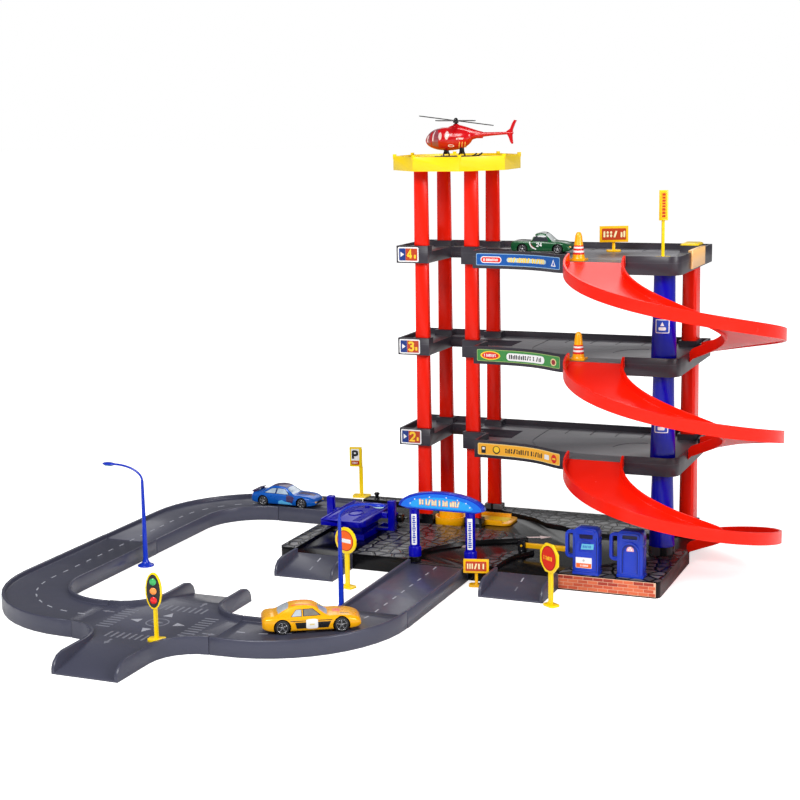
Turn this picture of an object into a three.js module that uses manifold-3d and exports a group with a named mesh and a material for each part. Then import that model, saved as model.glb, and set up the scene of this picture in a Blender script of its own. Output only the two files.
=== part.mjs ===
// Toy parking garage: a base with a workshop hoist and a forecourt, three decks joined by spiral
// ramps and a lift, a helicopter pad, a loop of road, signs, three cars and a helicopter.
// Millimetres, +Z up. The origin is on the ground under the centre of the lift shaft,
// +X runs along the front to the right and +Y to the back.
import * as THREE from "three";
import { mergeVertices } from "three/addons/utils/BufferGeometryUtils.js";
import Module from "manifold-3d";

const wasm = await Module();
wasm.setup();

// Heights that the base and the decks share
const storeyPitch = 100;
const storeys = 3;
const deckRise = 12;
const floorThick = 2.5;
const wall = 2.5;
const parapetTall = 6.5;
const curbTall = 4.5;
const padGap = 98.5;

// Clearances, and the overruns of cuts and joins
const slip = 0.3;
const play = 1.5;
const overrun = 1;
const weld = 0.4;

// Lift shaft, with a slot to its right for the platform's tongue
const shaftHalfWide = 19;
const shaftBack = 28;
const slotReach = 51;
const slotBack = 12;

// Lift columns, and the collars and sockets that they plug into
const columnOff = 9.5;
const columnBackOff = 6.25;
const columnFrontOff = 5.25;
const columnWide = 16;
const columnDeep = 7;
const columnChamfer = 1.2;
const columnTaper = 0.5;
const plugInset = 1.4;
const plugLong = 4;
const collarWide = 20;
const collarDeep = 13;
const socketWide = 20;
const socketDeep = 11;
const socketTall = 10;

// Decks
const deckLeft = -55;
const deckRight = 269;
const deckFront = -109.5;
const deckBack = 43;
const deckCorner = 12;
const panelLeft = 45.5;
const panelFront = -79;

// Spiral ramps: their centre is level with the decks' front edge
const rampCentreX = 264;
const rampInner = 48.5;
const rampOuter = 107.5;
const rampWall = 2.5;
const rampFloor = 2.5;
const rampOuterRim = 8.5;
const rampInnerRim = 7;
const rampSkirt = 4;
const rampTurnDegrees = 260;
const rampSteps = 28;

// Rear column and its cap
const rearColumnInX = 18.25;
const rearColumnInY = 15;
const rearColumnWide = 15.5;
const rearColumnDeep = 24;
const rearChamfer = 2.4;
const rearCollarWall = 2;
const capTall = 2.5;

// Front pillar
const pillarInX = 19.5;
const pillarInY = 21.5;
const pillarFootRadius = 12.2;
const pillarRadius = 10.4;
const pillarTopRadius = 9.8;
const pillarFlareTall = 7;
const pillarPlugRadius = 7;
const pillarSocketRadius = 13.4;
const pillarSocketTall = 8;

// Gate that closes the top deck's unused ramp opening
const gateThick = 2.2;
const gateRise = 2;
const gateDrop = 10;

// Helicopter pad
const padTall = 15;
const padHalfWide = 63.5;
const padRimTall = 2.5;
const padRimWall = 3;
const padBumpRadius = 2.2;
const padBumpTall = 2;
const padBossWide = 20;
const padBossDeep = 11;

// Lift platform
const liftThick = 2.7;
const liftBackOff = 2;
const liftWall = 2.2;
const liftRimTall = 3;
const liftBackTall = 10;
const tongueEndGap = 4;
const tongueSideGap = 3;
const balconyDeep = 18;
const balconyTall = 9;
const cradleDeep = 10;
const cradleTall = 20;
const cradleInset = 4;

// Base
const baseLeft = -130.5;
const baseRightOff = 3.5;
const baseFront = -193;
const baseCorner = 6;
const baseFootHalf = 10;
const rearIslandDeep = 4.5;

// Roads: all pieces share one section
const roadWidth = 65;
const roadWall = 3;
const roadBend = 92;
const leftTrackX = -300.5;
const archRoadX = 47;
const backTrackY = -8;
const frontTrackY = -447;
const leftSeamY = -210;
const crossingX = -126.5;
const crossingHalf = 70;
const endLong = 50;
const endLip = 1.6;
const bendSteps = 12;

// Workshop lane and hoist: the places along y are taken from the two guide posts
const workshopX = -79.5;
const hoistInY = 98;
const hoistPostHalf = 3.5;
const hoistPostTall = 31.5;
const hoistPlateHalfWide = 25;
const hoistPlateFrontOff = 51;
const hoistPlateBackOff = 36;
const hoistPlateRise = 18;
const hoistPlateThick = 6;
const hoistPlateCorner = 6;
const hoistStemHalfWide = 13.5;
const hoistStemFrontOff = 30;
const hoistStemBackOff = 15;
const hoistStemDip = 2.5;
const hoistHousingTall = 6.5;
const hoistHousingWall = 4;
const hoistEarHalf = 4;
const hoistLipTall = 1.2;
const hoistLipWide = 2.2;

// Crank of the hoist: it runs in a boss beside the plate
const crankOffY = 24;
const crankRise = 12;
const crankRadius = 2;
const crankBossGap = 1;
const crankBossWide = 5;
const crankBossHalf = 5;
const crankKnobGap = 2;
const crankKnobLong = 6;
const crankKnobRadius = 5;
const crankPinOff = 3.2;
const crankPinRadius = 1.5;
const crankPinLong = 4;

// Forecourt and fuel pumps
const forecourtX = 139.5;
const pumpWide = 25;
const pumpDeep = 14;
const pumpTall = 46;
const pumpOff = 27;
const pumpSpacing = 43;
const pumpLeftInY = 9;
const pumpRightInY = 13;
const hoseReach = 9;
const hoseTall = 27.6;
const hoseMid = 28.5;
const hoseThick = 3;
const hoseDeep = 5;
const recessWide = 12.5;
const recessDeep = 1.2;
const recessMid = 28.5;
const screenLow = 23;
const alcoveLow = 5.5;

// Arch over the entrance
const archInY = 13;
const archHalfSpan = 30;
const archPostRadius = 5;
const archFootRadius = 6.4;
const archFootTall = 10;
const archPostTall = 49.5;
const archHalfWide = 46;
const archFlatHalf = 37;
const archTipRise = 3;
const archBoardTall = 19;
const archBoardThick = 7;

// Barrier
const barrierOff = 24;
const barrierInY = 62;
const barrierPostHalf = 3.8;
const barrierFootRadius = 4.6;
const barrierFootTall = 2.5;
const barrierForkGap = 3.6;
const barrierCheek = 2.2;
const barrierHubRise = 7;
const barrierArmLong = 47;
const barrierArmTall = 5;
const barrierArmThick = 3;
const barrierPinRadius = 1.2;

// Short post at the rear left
const bollardInX = 15.5;
const bollardInY = 13;
const bollardRadius = 3.6;
const bollardTall = 8;
const bollardHead = 1.5;

// Signs: a foot plate, a square pole and a head
const signFootWide = 15;
const signFootDeep = 11;
const signFootThick = 2;
const signPole = 3;
const signHeadThick = 2;
const signTall = 62;
const stopWide = 28;
const stopTall = 30;
const stopGap = 10;
const stopOutY = 54;
const roundWide = 27;
const roundGap = 23;
const roundOutY = 62.5;
const parkingWide = 15;
const parkingTall = 24;
const parkingShift = -6;
const parkingOutX = 33.5;
const parkingGap = 72.4;
const noticeWide = 25;
const noticeTall = 14;
const noticeTop = 28;
const noticeGap = 14;
const noticeOutY = 16;
const boardWide = 30;
const boardTall = 17;
const boardTop = 27;
const boardInX = 96.5;
const boardInY = 37;
const mastWide = 9;
const mastTall = 30;
const mastTop = 68;
const mastInX = 28.5;
const mastInY = 50.5;
const lightWide = 15;
const lightTall = 33;
const lightOffX = 25.5;
const lightOffY = 44;

// Traffic cones
const coneTall = 28.5;
const conePlate = 16;
const conePlateThick = 2;
const coneFootRadius = 6.2;
const coneTipRadius = 1.8;

// Street lamps
const lampTall = 91;
const lampFootRadius = 8.5;
const lampFootTall = 1.3;
const lampCollarRadius = 3.6;
const lampCollarTop = 5.2;
const lampPoleRadius = 2.4;
const lampTopRadius = 1.5;
const lampArmRadius = 1.2;
const lampArmReach = 31;
const lampArmRise = 15;
const lampHeadLong = 16;
const lampHeadHalf = 3.4;
const lampLeftGap = 12;
const lampLeftOffY = 43;
const lampRightGap = 12.5;
const lampRightOffY = 26;

// Cars
const tyreWide = 5;
const axleRadius = 1;
const wellGap = 1.2;
const sedanLong = 82;
const sedanWide = 31;
const sedanTall = 23.5;
const sedanClear = 2.4;
const sedanWheel = 5.7;
const sedanBehind = 3;
const sedanAside = -1;
const coupeLong = 87;
const coupeWide = 34;
const coupeTall = 24;
const coupeClear = 2.5;
const coupeWheel = 6.5;
const coupeAside = 10;
const coupeBendDegrees = 43.4;
const coupeTurnDegrees = 29.5;
const pickupLong = 64;
const pickupWide = 27;
const pickupTall = 20;
const pickupClear = 2.2;
const pickupWheel = 4.8;
const pickupGap = 2.5;
const pickupAside = 14.5;

// Helicopter
const heliNose = -34.5;
const heliLong = 56;
const heliAxisRise = 16.5;
const heliHalfTall = 12;
const heliHalfWide = 10.5;
const boomEnd = 64;
const boomRise = 23;
const boomHalf = 1.4;
const finLong = 8;
const finTopRise = 36;
const finLowRise = 11;
const finThick = 1.6;
const rotorMastRadius = 2.4;
const rotorX = -0.7;
const rotorRise = 38.6;
const rotorTiltDegrees = 7;
const rotorTurnDegrees = -7;
const rotorLong = 45;
const rotorChord = 4;
const rotorThick = 0.9;
const rotorHubRadius = 3;
const rotorHubTall = 4;
const skidOff = 9;
const skidBar = 1.8;

// Colours
const red = 0xe01418;
const yellow = 0xffcf10;
const amber = 0xffa812;
const blue = 0x1230c4;
const brightBlue = 0x0f3fd0;
const azure = 0x1769d2;
const green = 0x0b6b34;
const grey = 0x565863;
const black = 0x17181d;

// Places that follow from the sizes above
const plateUnder = deckRise - floorThick;
const deckTop = deckRise + parapetTall;
const baseTop = deckRise + curbTall;
const socketTop = deckRise + socketTall;
const deckLevels = Array.from({ length: storeys }, (_, i) => storeyPitch * (i + 1));
const topDeck = deckLevels[storeys - 1];
const topFloor = topDeck + deckRise;
const padUnder = topDeck + padGap;
const padFloor = padUnder + padTall - padRimTall;
const columnX = shaftHalfWide + columnOff;
const columnY = shaftBack + columnBackOff;
const slotFront = columnFrontOff - columnY;
const collarFront = slotFront - collarDeep;
const mouthLeft = rampCentreX - rampOuter;
const mouthRight = rampCentreX - rampInner;
const arrivalFront = deckFront + rampInner;
const arrivalBack = deckFront + rampOuter;
const rearColumnX = deckRight - rearColumnInX;
const rearColumnY = deckBack - rearColumnInY;
const pillarX = deckRight - pillarInX;
const pillarY = deckFront + pillarInY;
const baseRight = deckRight + baseRightOff;
const baseBack = deckBack;
const baseWide = baseRight - baseLeft;
const baseDeep = baseBack - baseFront;
const roadHalf = roadWidth / 2;
const leftBendX = leftTrackX + roadBend;
const rightBendX = archRoadX - roadBend;
const frontBendY = frontTrackY + roadBend;
const backBendY = backTrackY - roadBend;
const hoistY = baseFront + hoistInY;
const barrierX = forecourtX - barrierOff;
const barrierY = baseFront + barrierInY;
const barrierHubZ = baseTop + barrierHubRise;
const columnSpots = {
  front_left: [-columnX, -columnY],
  rear_left: [-columnX, columnY],
  front_right: [columnX, -columnY],
  rear_right: [columnX, columnY],
};

const garage = new THREE.Group();
const axisX = new THREE.Vector3(1, 0, 0);
const axisY = new THREE.Vector3(0, 1, 0);
const axisZ = new THREE.Vector3(0, 0, 1);

// Solid from a closed three.js geometry, with its faces turned out
function solid(geometry) {
  const bare = geometry.index ? geometry.toNonIndexed() : geometry;
  bare.deleteAttribute("normal");
  bare.deleteAttribute("uv");
  const merged = mergeVertices(bare);
  const spots = merged.attributes.position;
  const corner = [0, 1, 2].map(() => new THREE.Vector3());
  const kept = [];
  let volume = 0;
  for (let i = 0; i < merged.index.count; i += 3) {
    const [p, q, r] = corner.map((_, k) => merged.index.getX(i + k));
    if (p !== q && q !== r && r !== p) {
      kept.push(p, q, r);
      [p, q, r].forEach((index, k) => corner[k].fromBufferAttribute(spots, index));
      volume += corner[0].dot(corner[1].cross(corner[2]));
    }
  }
  if (volume < 0) kept.reverse();
  const mesh = new wasm.Mesh({
    numProp: 3,
    vertProperties: new Float32Array(spots.array),
    triVerts: new Uint32Array(kept),
  });
  return new wasm.Manifold(mesh);
}

function join(first, ...others) {
  return others.reduce((sum, piece) => sum.add(piece), first);
}

function cut(first, ...others) {
  return others.reduce((rest, piece) => rest.subtract(piece), first);
}

function extrude(points, from, to, basis) {
  const shape = new THREE.Shape(points.map(([u, v]) => new THREE.Vector2(u, v)));
  const geometry = new THREE.ExtrudeGeometry(shape, { depth: to - from, bevelEnabled: false });
  geometry.translate(0, 0, from);
  geometry.applyMatrix4(basis);
  return solid(geometry);
}

// Outline in x and y, raised from z0 to z1
function upright(points, z0, z1) {
  return extrude(points, z0, z1, new THREE.Matrix4());
}

// Profile in y and z, run from x0 to x1
function alongX(points, x0, x1) {
  return extrude(points, x0, x1, new THREE.Matrix4().makeBasis(axisY, axisZ, axisX));
}

// Profile in x and z, run from y0 to y1
function alongY(points, y0, y1) {
  const basis = new THREE.Matrix4().makeBasis(axisX, axisZ, axisY.clone().negate());
  return extrude(points, -y1, -y0, basis);
}

function rectangle(x0, x1, y0, y1) {
  return [[x0, y0], [x1, y0], [x1, y1], [x0, y1]];
}

function block(x0, x1, y0, y1, z0, z1) {
  return upright(rectangle(x0, x1, y0, y1), z0, z1);
}

function centredBlock(x, y, halfWide, halfDeep, z0, z1) {
  return block(x - halfWide, x + halfWide, y - halfDeep, y + halfDeep, z0, z1);
}

function arc(x, y, radius, startDegrees, endDegrees, steps) {
  return Array.from({ length: steps + 1 }, (_, i) => {
    const degrees = startDegrees + ((endDegrees - startDegrees) * i) / steps;
    const angle = THREE.MathUtils.degToRad(degrees);
    return [x + radius * Math.cos(angle), y + radius * Math.sin(angle)];
  });
}

function circle(x, y, radius, sides) {
  return arc(x, y, radius, 0, 360, sides).slice(0, sides);
}

function cylinder(x, y, radius, z0, z1, sides) {
  return upright(circle(x, y, radius, sides), z0, z1);
}

function roundedRectangle(x0, x1, y0, y1, radius, steps) {
  return [
    ...arc(x0 + radius, y0 + radius, radius, 180, 270, steps),
    ...arc(x1 - radius, y0 + radius, radius, 270, 360, steps),
    ...arc(x1 - radius, y1 - radius, radius, 0, 90, steps),
    ...arc(x0 + radius, y1 - radius, radius, 90, 180, steps),
  ];
}

// Moves each side of a counterclockwise outline inwards by one distance
function inset(points, distance) {
  const inward = (p, q) => {
    const long = Math.hypot(q[0] - p[0], q[1] - p[1]);
    return [(p[1] - q[1]) / long, (q[0] - p[0]) / long];
  };
  return points.map((point, i) => {
    const m = inward(points[(i + points.length - 1) % points.length], point);
    const n = inward(point, points[(i + 1) % points.length]);
    const step = distance / (1 + m[0] * n[0] + m[1] * n[1]);
    return [point[0] + (m[0] + n[0]) * step, point[1] + (m[1] + n[1]) * step];
  });
}

// Skin over rings of as many points each, closed at both ends with the section's own faces
function skin(rings, section) {
  const faces = [];
  rings.slice(1).forEach((ring, k) => {
    const before = rings[k];
    ring.forEach((_, i) => {
      const j = (i + 1) % ring.length;
      faces.push([before[i], before[j], ring[j]], [before[i], ring[j], ring[i]]);
    });
  });
  const flat = section.map(([u, v]) => new THREE.Vector2(u, v));
  const first = rings[0];
  const last = rings[rings.length - 1];
  THREE.ShapeUtils.triangulateShape(flat, []).forEach(([p, q, r]) => {
    faces.push([first[r], first[q], first[p]], [last[p], last[q], last[r]]);
  });
  const geometry = new THREE.BufferGeometry();
  geometry.setAttribute("position", new THREE.Float32BufferAttribute(faces.flat(2), 3));
  return solid(geometry);
}

// Stack of level outlines, each given as [outline, z]
function stack(steps) {
  const rings = steps.map(([outline, z]) => outline.map(([x, y]) => [x, y, z]));
  return skin(rings, steps[0][0]);
}

// Profile of [radius, z] turned about the upright axis
function turned(profile, sides) {
  const points = profile.map(([radius, z]) => new THREE.Vector2(radius, z));
  const geometry = new THREE.LatheGeometry(points, sides);
  geometry.rotateX(Math.PI / 2);
  return solid(geometry);
}

function add(name, body, colour, at = [0, 0, 0], turnDegrees = 0, roughness = 0.35, metalness = 0) {
  const data = body.getMesh();
  const geometry = new THREE.BufferGeometry();
  const points = new THREE.Float32BufferAttribute(data.vertProperties, data.numProp);
  geometry.setAttribute("position", points);
  geometry.setIndex(Array.from(data.triVerts));
  geometry.computeVertexNormals();
  const material = new THREE.MeshStandardMaterial({ color: colour, roughness, metalness });
  const mesh = new THREE.Mesh(geometry, material);
  mesh.name = name;
  mesh.position.set(...at);
  mesh.rotation.z = THREE.MathUtils.degToRad(turnDegrees);
  garage.add(mesh);
}

// Column outline with cut corners
function chamfered(wide, deep, chamfer) {
  const w = wide / 2;
  const d = deep / 2;
  return [
    [chamfer - w, -d], [w - chamfer, -d], [w, chamfer - d], [w, d - chamfer],
    [w - chamfer, d], [chamfer - w, d], [-w, d - chamfer], [-w, chamfer - d],
  ];
}

// Column of tapered storeys, each given as [low, high], with plugs between them and at both ends
function columnStack(wide, deep, chamfer, spans, tipZ) {
  const plug = chamfered(wide - 2 * plugInset, deep - 2 * plugInset, chamfer / 2);
  const foot = chamfered(wide, deep, chamfer);
  const head = chamfered(wide - 2 * columnTaper, deep - 2 * columnTaper, chamfer);
  const storeySteps = spans.flatMap(([low, high]) => [[plug, low], [foot, low], [head, high], [plug, high]]);
  return stack([[plug, spans[0][0] - plugLong + slip], ...storeySteps, [plug, tipZ]]);
}

function plugHole(wide, deep, [x, y], z0, z1) {
  return centredBlock(x, y, wide / 2 - plugInset + slip, deep / 2 - plugInset + slip, z0, z1);
}

const storeyFloors = [socketTop, ...deckLevels.map((level) => level + deckTop)];
const storeyCeilings = [...deckLevels, padUnder];

function addLiftColumns() {
  const spans = storeyFloors.map((low, i) => [low, storeyCeilings[i]]);
  const body = columnStack(columnWide, columnDeep, columnChamfer, spans, padUnder + plugLong - slip);
  Object.entries(columnSpots).forEach(([side, [x, y]]) => add(`lift_column_${side}`, body, red, [x, y, 0]));
}

function addRearColumn() {
  const spans = deckLevels.map((high, i) => [storeyFloors[i], high]);
  const body = columnStack(rearColumnWide, rearColumnDeep, rearChamfer, spans, topDeck + deckTop - slip);
  const collar = 2 * rearCollarWall;
  const broad = chamfered(rearColumnWide + collar, rearColumnDeep + collar, rearChamfer);
  const narrow = chamfered(rearColumnWide, rearColumnDeep, rearChamfer);
  const cap = stack([[broad, 0], [broad, capTall / 2], [narrow, capTall]]);
  add("rear_column", body, red, [rearColumnX, rearColumnY, 0]);
  add("rear_column_cap", cap, yellow, [rearColumnX, rearColumnY, topDeck + deckTop]);
}

// Round post with a flared foot on each floor
function addPillar() {
  const ring = (radius, z) => [circle(0, 0, radius, 16), z];
  const socketZ = baseTop + pillarSocketTall;
  const floors = [socketZ, ...deckLevels.map((level) => level + deckRise)];
  const storeySteps = deckLevels.flatMap((high, i) => [
    ring(pillarPlugRadius, floors[i]),
    ring(pillarFootRadius, floors[i]),
    ring(pillarRadius, floors[i] + pillarFlareTall),
    ring(pillarTopRadius, high),
    ring(pillarPlugRadius, high),
  ]);
  const body = stack([
    ring(pillarPlugRadius, socketZ - plugLong + slip),
    ...storeySteps,
    ring(pillarPlugRadius, topFloor - slip),
  ]);
  add("front_pillar", body, blue, [pillarX, pillarY, 0]);
}

// The deck's curved front, from the shaft's right to the ramp: shares of its run and its reach
const panelCurveShares = [
  [0, 0], [0.15, 0.01], [0.3, 0.05], [0.42, 0.1], [0.52, 0.18], [0.61, 0.28],
  [0.7, 0.44], [0.78, 0.62], [0.86, 0.82], [0.93, 0.95], [1, 1],
];

function deckOutline() {
  const curve = panelCurveShares.map(([u, v]) => [
    panelLeft + u * (mouthLeft - panelLeft),
    panelFront + v * (deckFront - panelFront),
  ]);
  return [
    [deckLeft, collarFront], [panelLeft, collarFront], ...curve,
    ...arc(deckRight - deckCorner, deckFront + deckCorner, deckCorner, 270, 360, 5),
    [deckRight, deckBack], [deckLeft, deckBack],
  ];
}

// Plan of the lift shaft and its slot, grown by a wall where the deck is to hold one
function shaftOutline(front, grow) {
  const half = shaftHalfWide + grow;
  const reach = shaftHalfWide + slotReach + grow;
  return [
    [-half, front], [half, front], [half, slotFront - grow], [reach, slotFront - grow],
    [reach, slotBack + grow], [half, slotBack + grow], [half, shaftBack + grow], [-half, shaftBack + grow],
  ];
}

function rearCollar(z0, z1) {
  const halfWide = rearColumnWide / 2 + rearCollarWall;
  const halfDeep = rearColumnDeep / 2 + rearCollarWall;
  return centredBlock(rearColumnX, rearColumnY, halfWide, halfDeep, z0, z1);
}

function deckBody() {
  const outline = deckOutline();
  const inner = inset(outline, wall);
  const high = deckTop + overrun;
  const collarEnd = shaftHalfWide + collarWide;
  const collars = [[-collarEnd, -shaftHalfWide], [shaftHalfWide, collarEnd]].flatMap(([x0, x1]) => [
    block(x0, x1, collarFront, slotFront, 0, deckTop),
    block(x0, x1, shaftBack, deckBack, 0, deckTop),
  ]);
  const shell = cut(
    upright(outline, 0, deckTop),
    upright(inner, deckRise, high),
    upright(inner, -overrun, plateUnder),
  );
  const filled = join(
    shell,
    upright(shaftOutline(collarFront, wall), 0, deckRise),
    cylinder(pillarX, pillarY, pillarSocketRadius, 0, deckRise, 20),
    rearCollar(0, deckTop),
    ...collars,
  );
  const plugHoles = Object.values(columnSpots).map((spot) => (
    plugHole(columnWide, columnDeep, spot, -overrun, high)
  ));
  return cut(
    filled,
    upright(shaftOutline(collarFront - overrun, 0), -overrun, high),
    block(mouthLeft, mouthRight, deckFront - overrun, deckFront + wall + overrun, deckRise, high),
    block(deckRight - wall - overrun, deckRight + overrun, arrivalFront, arrivalBack, deckRise, high),
    plugHole(rearColumnWide, rearColumnDeep, [rearColumnX, rearColumnY], -overrun, high),
    cylinder(pillarX, pillarY, pillarPlugRadius + slip, -overrun, high, 20),
    ...plugHoles,
  );
}

function addDecks() {
  const body = deckBody();
  deckLevels.forEach((level, i) => add(`deck_${i + 2}`, body, black, [0, 0, level]));
}

function addGate() {
  const top = deckTop + gateRise;
  const plate = block(deckRight, deckRight + gateThick, arrivalFront, arrivalBack, deckRise - gateDrop, top);
  const insert = block(
    deckRight - wall, deckRight + weld, arrivalFront + slip, arrivalBack - slip, deckRise, top,
  );
  add("top_deck_gate", join(plate, insert), yellow, [0, 0, topDeck]);
}

// Three quarters of a turn, from a deck's front edge to the right side of the floor below.
// The last ring lies flat on the deck's side, past the turn's last step.
function addRamps() {
  const section = [
    [rampInner, -rampSkirt], [rampInner + rampWall, -rampSkirt], [rampInner + rampWall, -rampFloor],
    [rampOuter - rampWall, -rampFloor], [rampOuter - rampWall, -rampSkirt], [rampOuter, -rampSkirt],
    [rampOuter, rampOuterRim], [rampOuter - rampWall, rampOuterRim], [rampOuter - rampWall, 0],
    [rampInner + rampWall, 0], [rampInner + rampWall, rampInnerRim], [rampInner, rampInnerRim],
  ];
  const rings = Array.from({ length: rampSteps + 1 }, (_, i) => {
    const degrees = (rampTurnDegrees * i) / rampSteps;
    const angle = THREE.MathUtils.degToRad(degrees);
    const drop = (storeyPitch * degrees) / 270;
    return section.map(([r, z]) => [-r * Math.cos(angle), -r * Math.sin(angle), z - drop]);
  });
  rings.push(section.map(([r, z]) => [deckRight - rampCentreX, r, z - storeyPitch]));
  const body = skin(rings, section);
  deckLevels.forEach((level, i) => {
    add(`spiral_ramp_${i + 2}`, body, red, [rampCentreX, deckFront, level + deckRise]);
  });
}

// Eight-sided tray on four bosses, with a bump on the rim at each corner
function addHelipad() {
  const outline = arc(0, 0, padHalfWide / Math.cos(Math.PI / 8), 22.5, 382.5, 8).slice(0, 8);
  const inner = inset(outline, padRimWall);
  const floorTop = padTall - padRimTall;
  const floorUnder = floorTop - floorThick;
  const tray = cut(
    upright(outline, 0, padTall),
    upright(inner, floorTop, padTall + overrun),
    upright(inner, -overrun, floorUnder),
  );
  const bumps = inset(outline, padRimWall / 2).map(([x, y]) => (
    cylinder(x, y, padBumpRadius, floorTop - weld, padTall + padBumpTall, 8)
  ));
  const bosses = Object.values(columnSpots).map(([x, y]) => cut(
    centredBlock(x, y, padBossWide / 2, padBossDeep / 2, 0, floorUnder + weld),
    plugHole(columnWide, columnDeep, [x, y], -overrun, plugLong),
  ));
  add("helipad", join(tray, ...bumps, ...bosses), yellow, [0, 0, padUnder]);
}

// Plate with a tongue to the decks, and a bowed balcony with a taller cradle wall in front
function addLiftPlatform() {
  const half = shaftHalfWide - play;
  const front = slotFront - overrun;
  const back = shaftBack - liftBackOff;
  const tongueFront = slotFront + tongueSideGap;
  const tongueBack = slotBack - tongueSideGap;
  const tongueEnd = shaftHalfWide + slotReach - tongueEndGap;
  const round = (tongueBack - tongueFront) / 4;
  const rimTop = liftThick + liftRimTall;
  const tongue = [
    [0, tongueFront], ...arc(tongueEnd - round, tongueFront + round, round, 270, 360, 5),
    ...arc(tongueEnd - round, tongueBack - round, round, 0, 90, 5), [0, tongueBack],
  ];
  const bow = (wide, deep, end) => [
    ...arc(0, 0, 1, 180, 360, 12).map(([u, v]) => [u * wide, front + v * deep]), [wide, end], [-wide, end],
  ];
  const bowWall = (wide, deep, tall) => cut(
    upright(bow(wide, deep, front + liftWall), 0, tall),
    upright(bow(wide - liftWall, deep - liftWall, front + liftWall + overrun), liftThick, tall + overrun),
  );
  const body = join(
    block(-half, half, front, back, 0, liftThick),
    upright(tongue, 0, liftThick),
    bowWall(half, balconyDeep, balconyTall),
    bowWall(half - cradleInset, cradleDeep, cradleTall),
    block(-half, half, back - liftWall, back, 0, liftBackTall),
    block(-half, liftWall - half, front, back, 0, rimTop),
    block(half - liftWall, tongueEnd - round, tongueFront, tongueFront + liftWall, 0, rimTop),
    block(half - liftWall, tongueEnd - round, tongueBack - liftWall, tongueBack, 0, rimTop),
  );
  add("lift_platform", body, yellow, [0, 0, deckRise + slip]);
}

// Island edges: shares of the base's width and depth from its front left corner
const rearShoreShares = [
  [0.429, 0.92], [0.531, 0.844], [0.58, 0.765], [0.633, 0.742], [0.675, 0.682], [0.73, 0.657],
  [0.792, 0.665], [0.854, 0.716], [0.916, 0.784], [0.96, 0.83], [1, 0.835],
];
const archShoreShares = [
  [0.365, 0.161], [0.392, 0.25], [0.439, 0.343], [0.494, 0.407], [0.583, 0.49],
  [0.562, 0.521], [0.498, 0.563], [0.423, 0.58],
];
const pumpShoreShares = [
  [1, 0], [1, 0.517], [0.935, 0.517], [0.909, 0.496], [0.894, 0.428], [0.874, 0.288],
  [0.84, 0.191], [0.795, 0.14], [0.762, 0.123],
];

// Edge of the wedge under the barrier: shares of the gap between its lanes and of its length
const wedgeShares = [
  [0, 0], [1, 0], [1.02, 0.38], [1.12, 0.62], [1.5, 0.88], [1.66, 1], [1.4, 1], [0.9, 0.84],
  [0.42, 0.6], [0.1, 0.32],
];

function islandOutlines() {
  const onBase = ([u, v]) => [baseLeft + u * baseWide, baseFront + v * baseDeep];
  const laneLeft = workshopX - roadHalf;
  const laneRight = workshopX + roadHalf;
  const archRight = archRoadX + roadHalf;
  const wedgeWide = forecourtX - roadHalf - archRight;
  const wedgeDeep = barrierY - baseFront + 2 * barrierFootRadius;
  const archShore = archShoreShares.map(onBase);
  const archShoreBack = archShore[archShore.length - 1][1];
  return [
    rectangle(baseLeft, laneLeft, baseFront, backTrackY - roadHalf),
    [
      [baseLeft, backTrackY + roadHalf], [deckLeft, backTrackY + roadHalf],
      [-columnX, baseBack - rearIslandDeep], [columnX, baseBack - rearIslandDeep],
      ...rearShoreShares.map(onBase), [baseRight, baseBack], [baseLeft, baseBack],
    ],
    [[laneRight, baseFront], [archRoadX - roadHalf, baseFront], ...archShore, [laneRight, archShoreBack]],
    wedgeShares.map(([u, v]) => [archRight + u * wedgeWide, baseFront + v * wedgeDeep]),
    [[forecourtX + roadHalf, baseFront], ...pumpShoreShares.map(onBase)],
  ];
}

function addBase() {
  const outline = roundedRectangle(baseLeft, baseRight, baseFront, baseBack, baseCorner, 4);
  const plate = cut(
    upright(outline, 0, deckRise),
    upright(inset(outline, wall), -overrun, plateUnder),
  );
  const inside = upright(outline, 0, baseTop);
  const islands = islandOutlines().map((points) => upright(points, plateUnder, baseTop).intersect(inside));
  const spots = Object.values(columnSpots);
  const sockets = spots.map(([x, y]) => (
    centredBlock(x, y, socketWide / 2, socketDeep / 2, plateUnder, socketTop)
  ));
  const pillarTop = baseTop + pillarSocketTall;
  const archFeet = [-archHalfSpan, archHalfSpan].map((off) => (
    cylinder(archRoadX + off, baseFront + archInY, archFootRadius, plateUnder, baseTop, 16)
  ));
  const built = join(
    plate,
    ...islands,
    ...sockets,
    ...archFeet,
    rearCollar(plateUnder, socketTop),
    cylinder(pillarX, pillarY, pillarSocketRadius, plateUnder, pillarTop, 20),
    centredBlock(0, 0, baseFootHalf, baseFootHalf, 0, deckRise),
  );
  const pocketLow = socketTop - plugLong;
  const pocketHigh = socketTop + overrun;
  const body = cut(
    built,
    stemWell(workshopX, -overrun, deckRise + overrun),
    block(deckRight, baseRight + overrun, arrivalFront - play, arrivalBack + play, -overrun, pocketHigh),
    plugHole(rearColumnWide, rearColumnDeep, [rearColumnX, rearColumnY], pocketLow, pocketHigh),
    cylinder(pillarX, pillarY, pillarPlugRadius + slip, pillarTop - plugLong, pillarTop + overrun, 20),
    ...spots.map((spot) => plugHole(columnWide, columnDeep, spot, pocketLow, pocketHigh)),
  );
  add("base", body, black);
}

// Side of a sloped end's walls past its straight run: shares of its length and its height
const noseShares = [[1, 0.3], [0.95, 0.62], [0.84, 0.88], [0.68, 1]];

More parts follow.
